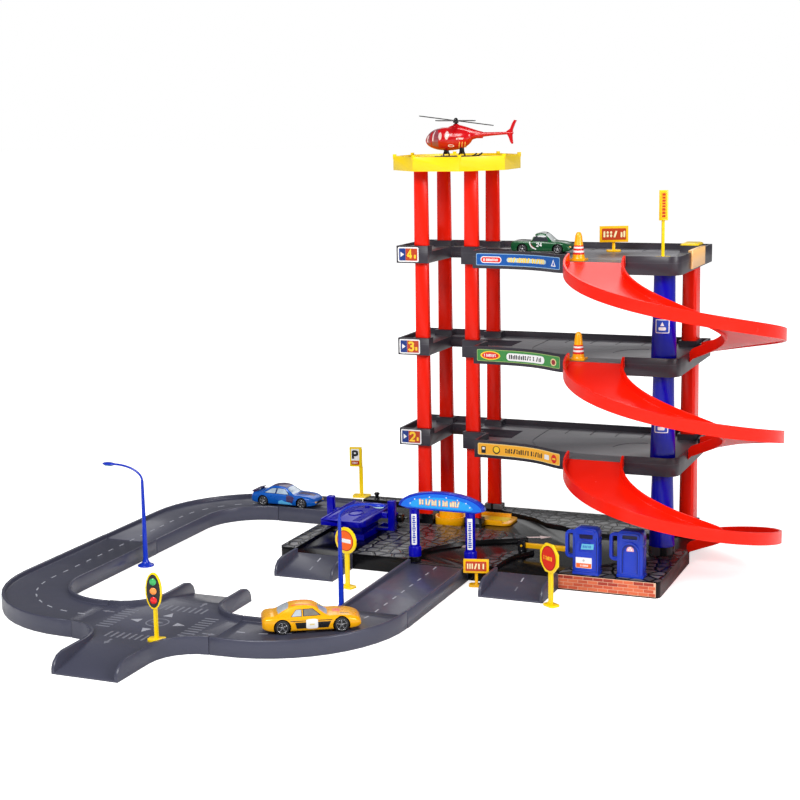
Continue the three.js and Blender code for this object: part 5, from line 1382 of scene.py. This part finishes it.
class Dress(Piece):
    """A car's prints, which its shell and wheels come before. Each print is an outline in shares of
    the car's length, width or height, with an ink and a lift."""

    def __init__(self, name):
        self.car = CARS[name]
        super().__init__(f"{name}_dress", standing(*self.car["at"]))
        self.target = add_car_shell(name, self.car)
        add_wheels(name, self.car)

    def beside(self, side):
        return facing(self.place, right=(-side, 0, 0))

    def on_side(self, points, side):
        """Outline seen from that side, from shares of the length and height."""
        return [(-side * (u - 0.5) * self.car["long"], v * self.car["tall"]) for u, v in points]

    def sides(self, prints):
        for points, material, lift in prints:
            for side in SIDES:
                row = (self.on_side(points, side), material, lift)
                cling(self, [row], self.beside(side), self.target, 1.4)

    def panes(self, windows):
        """Side windows with a dark seal round each."""
        for points, material in windows:
            self.sides([(grown(points, SEAL), BLACK_INK, 0.08), (points, material, 0.16)])

    def top(self, prints):
        """Prints seen from above: shares of the length and of the half width."""
        long, wide = self.car["long"], self.car["wide"]
        rows = [([((u - 0.5) * long, v * wide / 2) for u, v in points], *look) for points, *look in prints]
        cling(self, rows, facing(self.place, up=(0, 1, 0)), self.target, 2.0)

    def end(self, prints, way):
        """Prints on the nose (1) or the tail (-1): shares of the half width and of the height."""
        wide, tall = self.car["wide"], self.car["tall"]
        rows = [([(u * wide / 2, v * tall) for u, v in points], *look) for points, *look in prints]
        cling(self, rows, facing(self.place, right=(0, way, 0)), self.target, 1.5)

    def lights(self, low, high):
        self.end([
            (box_outline(0.42, 0.72, low, high), HEAD_LENS, 0.2),
            (box_outline(-0.72, -0.42, low, high), HEAD_LENS, 0.2),
            (box_outline(-0.36, 0.36, low - 0.06, low + 0.04), BLACK_INK, 0.15),
        ], 1)
        self.end([
            (box_outline(0.4, 0.74, low + 0.1, high + 0.1), TAIL_LENS, 0.2),
            (box_outline(-0.74, -0.4, low + 0.1, high + 0.1), TAIL_LENS, 0.2),
        ], -1)

    def finish(self, name):
        crease(self.build(self.car["slot"], body=name))


def bowed(rear, front):
    """Pane seen from above; each end has its place, its half width and the place of its middle."""
    (u0, half0, middle0), (u1, half1, middle1) = rear, front
    return [(u0, -half0), (u1, -half1), (middle1, 0), (u1, half1), (u0, half0), (middle0, 0)]


def add_orange_car():
    dress = Dress("orange_car")
    dress.panes([
        ([(0.295, 0.67), (0.395, 0.67), (0.395, 0.87), (0.345, 0.86)], PALE_GLASS),
        ([(0.42, 0.67), (0.58, 0.67), (0.51, 0.87), (0.42, 0.875)], SMOKE_GLASS),
    ])
    dress.sides([
        ([(0.345, 0.22), (0.665, 0.22), (0.69, 0.45), (0.33, 0.45)], BLACK_INK, 0.12),
        ([(0.29, 0.49), (0.7, 0.49), (0.705, 0.515), (0.28, 0.515)], BLACK_INK, 0.12),
        (rounded(0.44, 0.56, 0.2, 0.56, 0.045, 5), WHITE, 0.22),
        (box_outline(0.475, 0.525, 0.33, 0.39), STRAW, 0.3),
    ])
    roof_edge = box_outline(0.3, 0.53, 0.34, 0.46)
    vent = [(0.79, 0.5), (0.88, 0.46), (0.88, 0.52), (0.79, 0.56)]
    dress.top([
        (bowed((0.575, 0.56, 0.568), (0.655, 0.66, 0.665)), PALE_GLASS, 0.12),
        (bowed((0.165, 0.62, 0.155), (0.265, 0.54, 0.275)), PALE_GLASS, 0.12),
        (roof_edge, ORANGE, 0.12), (mirror(roof_edge), ORANGE, 0.12),
        (box_outline(0.72, 0.79, -0.24, 0.24), ink("coral", (0.85, 0.2, 0.12)), 0.14),
        (vent, BLACK_INK, 0.14), (mirror(vent), BLACK_INK, 0.14),
    ])
    dress.lights(0.3, 0.38)
    dress.finish("orange_car")


def add_rear_wing(dress):
    half = dress.car["wide"] / 2
    plane = facing(dress.place)
    tail = -0.5 * dress.car["long"]
    blade = [(tail + 0.8, 15), (tail + 7.6, 17.0), (tail + 7.8, 17.9), (tail + 1, 16.4)]
    dress.prism(blade, -0.74 * half, 0.74 * half, PLUM, plane)
    stay = [(tail + 1.6, 12.2), (tail + 6.6, 12.4), (tail + 6.2, 16.9), (tail + 2, 15.6)]
    for side in SIDES:
        dress.prism(stay, side * 0.62 * half - 0.9, side * 0.62 * half + 0.9, PLUM, plane)


def add_blue_car():
    dress = Dress("blue_car")
    dress.panes([
        ([(0.225, 0.66), (0.385, 0.66), (0.39, 0.88), (0.32, 0.86)], BLUE_GLASS),
        ([(0.41, 0.66), (0.59, 0.64), (0.52, 0.86), (0.415, 0.88)], BLUE_GLASS),
    ])
    dress.sides([
        ([(0.44, 0.16), (0.67, 0.16), (0.62, 0.26), (0.54, 0.3), (0.5, 0.36), (0.45, 0.3)],
         ink("sky", (0.1, 0.45, 0.8)), 0.12),
        ([(0.57, 0.3), (0.66, 0.24), (0.69, 0.5), (0.66, 0.6), (0.57, 0.6)], PLUM, 0.18),
    ])
    dress.top([
        (bowed((0.315, 0.56, 0.31), (0.54, 0.56, 0.545)), PLUM, 0.1),
        (bowed((0.56, 0.58, 0.553), (0.66, 0.7, 0.67)), BLUE_GLASS, 0.14),
        (bowed((0.19, 0.62, 0.183), (0.295, 0.55, 0.3)), BLUE_GLASS, 0.14),
        ([(0.7, -0.3), (0.93, -0.26), (0.93, 0.26), (0.7, 0.3)], PLUM, 0.12),
    ])
    dress.lights(0.28, 0.36)
    add_rear_wing(dress)
    dress.finish("blue_car")


def add_door_marks(dress):
    """White arc and two numerals on each door."""
    turns = [math.radians(115 + 13 * i) for i in range(12)]
    arc = [(0.47 + 0.14 * math.cos(t), 0.56 + 0.34 * math.sin(t)) for t in turns]
    for side in SIDES:
        plane = dress.beside(side)
        cling(dress, [(stroke(dress.on_side(arc, side), 1.2), WHITE, 0.26)], plane, dress.target, 1.2)
        for u, digit in ((-3.4, "2"), (0, "4")):
            lines = numeral(digit, u, 0.36 * dress.car["tall"], 2.4, 3.6, 0.9)
            rows = [(outline, WHITE, 0.2 + HAIR * k) for k, outline in enumerate(lines)]
            cling(dress, rows, plane, dress.target, 1.5)


def add_green_car():
    dress = Dress("green_car")
    dress.sides([
        ([(0.37, 0.6), (0.64, 0.6), (0.585, 0.87), (0.41, 0.87)], DARK_GLASS, 0.12),
        ([(0.36, 0.28), (0.4, 0.24), (0.42, 0.3), (0.375, 0.4), (0.35, 0.5), (0.33, 0.42)], MAROON, 0.12),
    ])
    add_door_marks(dress)
    dress.top([
        (bowed((0.585, 0.62, 0.58), (0.7, 0.72, 0.705)), glass("clear_glass", (0.75, 0.8, 0.8)), 0.14),
        (bowed((0.42, 0.6, 0.415), (0.57, 0.6, 0.575)), DARK_GLASS, 0.12),
        (box_outline(0.05, 0.34, -0.72, 0.72), ASH, 0.1),
        (box_outline(0.08, 0.32, -0.62, 0.62), BLACK_INK, 0.18),
    ])
    dress.lights(0.3, 0.38)
    dress.finish("green_car")


# Helicopter, in the garage's own coordinates
HELI_NOSE, HELI_LONG, HELI_AXIS = -35.5, 54, 430.8
HELI_TALL, HELI_WIDE = 12.4, 10.6
EGG = (
    (0, 0.1, -0.16), (0.015, 0.24, -0.15), (0.05, 0.44, -0.12), (0.12, 0.68, -0.07), (0.24, 0.9, -0.02),
    (0.38, 0.99, 0), (0.54, 1, 0), (0.7, 0.93, 0.02), (0.83, 0.79, 0.06), (0.92, 0.6, 0.13),
    (0.975, 0.38, 0.2), (1, 0.14, 0.24),
)
BOOM = ((4, 6.2), (11, 5.6), (19, 4.2), (28, 2.7), (38, 2.0), (50, 1.6), (64, 1.3))
BOOM_RISE = 437
HUMP = (
    (-17, 1.6, 440), (-12, 3.6, 442.4), (-6, 4.8, 444.8), (-1, 5.2, 445.8), (4, 5.2, 445.4),
    (11, 4.6, 443.6), (18, 3.6, 441.4), (25, 2.2, 439.2), (30, 1.2, 438),
)
HUMP_LOW = 433
FIN = [
    (56.4, 436.4), (59, 432), (60.6, 427.4), (62.4, 424.8), (64, 425.4), (63.4, 430), (63.2, 434),
    (63.8, 440), (66.4, 446.4), (68, 449.6), (65.2, 450.2), (62.6, 446), (60.6, 441), (56.4, 438.2),
]
MAST_FOOT = ((0, 440), (4.6, 440), (3.2, 445.6), (2.4, 446.6), (0, 446.6))
HUB = (-0.7, 449.6)
PRINT_RISE = 3
COCKPIT_GLASS, SHINE = glass("cockpit_glass", (0.3, 0.06, 0.08)), glass("window_sheen", (0.8, 0.6, 0.6))
OCHRE = ink("ochre", (0.9, 0.45, 0.1))
# Prints on each side: the windows, the door, their gleams, a badge, slanted bars and lettering
HELI_PRINTS = [
    ([(-33.4, 427), (-32.4, 430.4), (-29.4, 434), (-26.6, 436.2), (-27.4, 430), (-27, 420.8), (-31, 422.4)],
     COCKPIT_GLASS, 0.15),
    ([(-25.4, 420.6), (-18, 419.2), (-16.8, 433), (-19.6, 438), (-24.2, 437.2), (-25.8, 430)],
     COCKPIT_GLASS, 0.15),
    ([(-32.4, 425), (-31.8, 429.6), (-29.6, 432.4), (-29.2, 430.6), (-30.6, 427), (-30.6, 424)], SHINE, 0.25),
    ([(-24.8, 426), (-24.2, 432), (-22.2, 437), (-21.4, 437), (-22.8, 431), (-23.6, 425)], SHINE, 0.25),
    (oval(-15.4, 430.8, 1.9, 4, 24), SHINE, 0.2), (oval(-7.6, 431.6, 2.3, 4.4, 24), SHINE, 0.2),
    (oval(-3.4, 420.6, 3.4, 1.5, 20), WHITE, 0.15), (oval(-3.4, 420.6, 2.4, 0.85, 20), RED_INK, 0.22),
    *(([(x, 418.6), (x + 0.9, 418.4), (x + 3, 424.6), (x + 2.2, 424.8)], OCHRE, 0.15) for x in (4, 6.8, 9.6)),
    *lettered(3, 11.5, 427.2, 429.2, 5, WHITE, 0.18),
]
ROOF_PANE = [(-29, -5), (-17, -6), (-16, 0), (-17, 6), (-29, 5), (-30, 0)]
SKID_LEGS, SKID_WIDE, SKID_THICK = (-12.1, 5.8), 9, 0.85
SKID_RAIL = (
    (-22, 412.4), (-21, 411.95), (-10, 411.9), (10, 411.9), (18, 412), (22, 412.9), (24.6, 414.4),
    (26, 415.6),
)
SKID_BOW = ((1, 412), (0.95, 414.4), (0.75, 416.2), (0.4, 417), (0, 417.2))


def egg_ring(along, size, lift):
    rise = HELI_AXIS + lift * HELI_TALL
    return upright(HELI_NOSE + along * HELI_LONG, oval(0, rise, size * HELI_WIDE, size * HELI_TALL, 40))


def hump_ring(x, wide, top):
    low = HUMP_LOW
    ring = [(wide * math.cos(t), low + (top - low) * max(0.0, math.sin(t)) ** 0.7) for t in half_circle(16)]
    return upright(x, ring + [(0, low - 2)])


def add_helicopter_shell():
    shell = Piece("helicopter_shell")
    shell.loft([egg_ring(*row) for row in smooth_row(EGG, 5)], CHERRY)
    target = shell.surface()
    boom = [(x, r, BOOM_RISE - (64 - x) * 0.03 - 0.35 * r) for x, r in BOOM]
    shell.loft([upright(x, oval(0, mid, r * 0.8, r, 32)) for x, r, mid in smooth_row(boom, 3)], CHERRY)
    shell.loft([hump_ring(*row) for row in smooth_row(HUMP, 3)], CHERRY)
    shell.prism(FIN, -0.9, 0.9, CHERRY, facing(HERE))
    shell.lathe(MAST_FOOT, CHERRY, standing(HUB[0], 0, 0), 32)
    built = shell.build("red_plastic", 0.25, 2, 45, "helicopter")
    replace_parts(built, "helicopter_body")
    return target


def add_helicopter_dress(target):
    dress = Piece("helicopter_dress")
    for side in SIDES:
        rows = [([(-side * x, z + PRINT_RISE) for x, z in points], *look) for points, *look in HELI_PRINTS]
        cling(dress, rows, facing(HERE, right=(-side, 0, 0)), target, 1.2)
    above = facing(HERE, (0, 0, HELI_AXIS), up=(0, 1, 0))
    cling(dress, [(ROOF_PANE, COCKPIT_GLASS, 0.15)], above, target, 2)
    crease(dress.build("red_plastic", body="helicopter"))


def add_skids():
    skids = Piece("skid_moulding")
    for y in (-SKID_WIDE, SKID_WIDE):
        skids.tube([(x, y, z) for x, z in SKID_RAIL], SKID_THICK, BLACK)
        for x in SKID_LEGS:
            skids.tube([(x, y * share, z) for share, z in SKID_BOW], SKID_THICK, BLACK)
    for x in SKID_LEGS:
        block = [(x - 2, 414.6), (x + 2, 414.6), (x + 1.4, 421.6), (x - 1.4, 421.6)]
        skids.prism(block, -3.4, 3.4, BLACK, facing(HERE))
    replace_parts(skids.build("black_plastic", 0.2, body="helicopter"), "helicopter_skids")


def add_rotor_cap():
    cap = Piece("rotor_cap", standing(HUB[0], 0, HUB[1]))
    cap.lathe([(0, 1.4), (2.2, 1.4), (1.9, 2.4), (1.1, 3.4), (0, 3.6)], BLACK, sides=24)
    cap.lathe([(0, -3.4), (1.5, -3.4), (1.9, -1.6), (2.4, -0.4), (2.4, 0.6), (0, 0.6)], BLACK, sides=24)
    cap.build("black_plastic", 0.15, body="rotor")


def add_garage():
    for number in DECKS:
        add_ramp(number)
        add_storey_number(number)
        add_deck_label(number)
        add_deck_lines(number)
    add_pillar()
    add_bricks()
    add_lane_arrows()
    add_arch_post("left", ARCH[0] - POST_OFF)
    add_arch_post("right", ARCH[0] + POST_OFF)
    add_arch_board()
    add_pump_labels()
    for side in PUMPS:
        add_pump_relief(side)
    add_hoist_relief()
    add_post_caps()
    add_lift_relief()
    add_pad_marks()


def add_track():
    add_dashes("loop_dashes", track_path())
    add_dashes("arch_dashes", right_path())
    add_crossing_marks()
    add_entry_marks()
    add_signs()
    for number in CONE_DECKS:
        add_cone(number)
    for side in LAMP_POSTS:
        add_lamp_post(side)


def add_vehicles():
    add_orange_car()
    add_blue_car()
    add_green_car()
    add_helicopter_dress(add_helicopter_shell())
    add_skids()
    add_rotor_cap()


add_garage()
add_track()
add_vehicles()
for node_material, node_edge, names in NODE_LOOKS:
    for node_name in names.split():
        finish_node(node_name, node_material, node_edge)
add_camera()
add_studio()
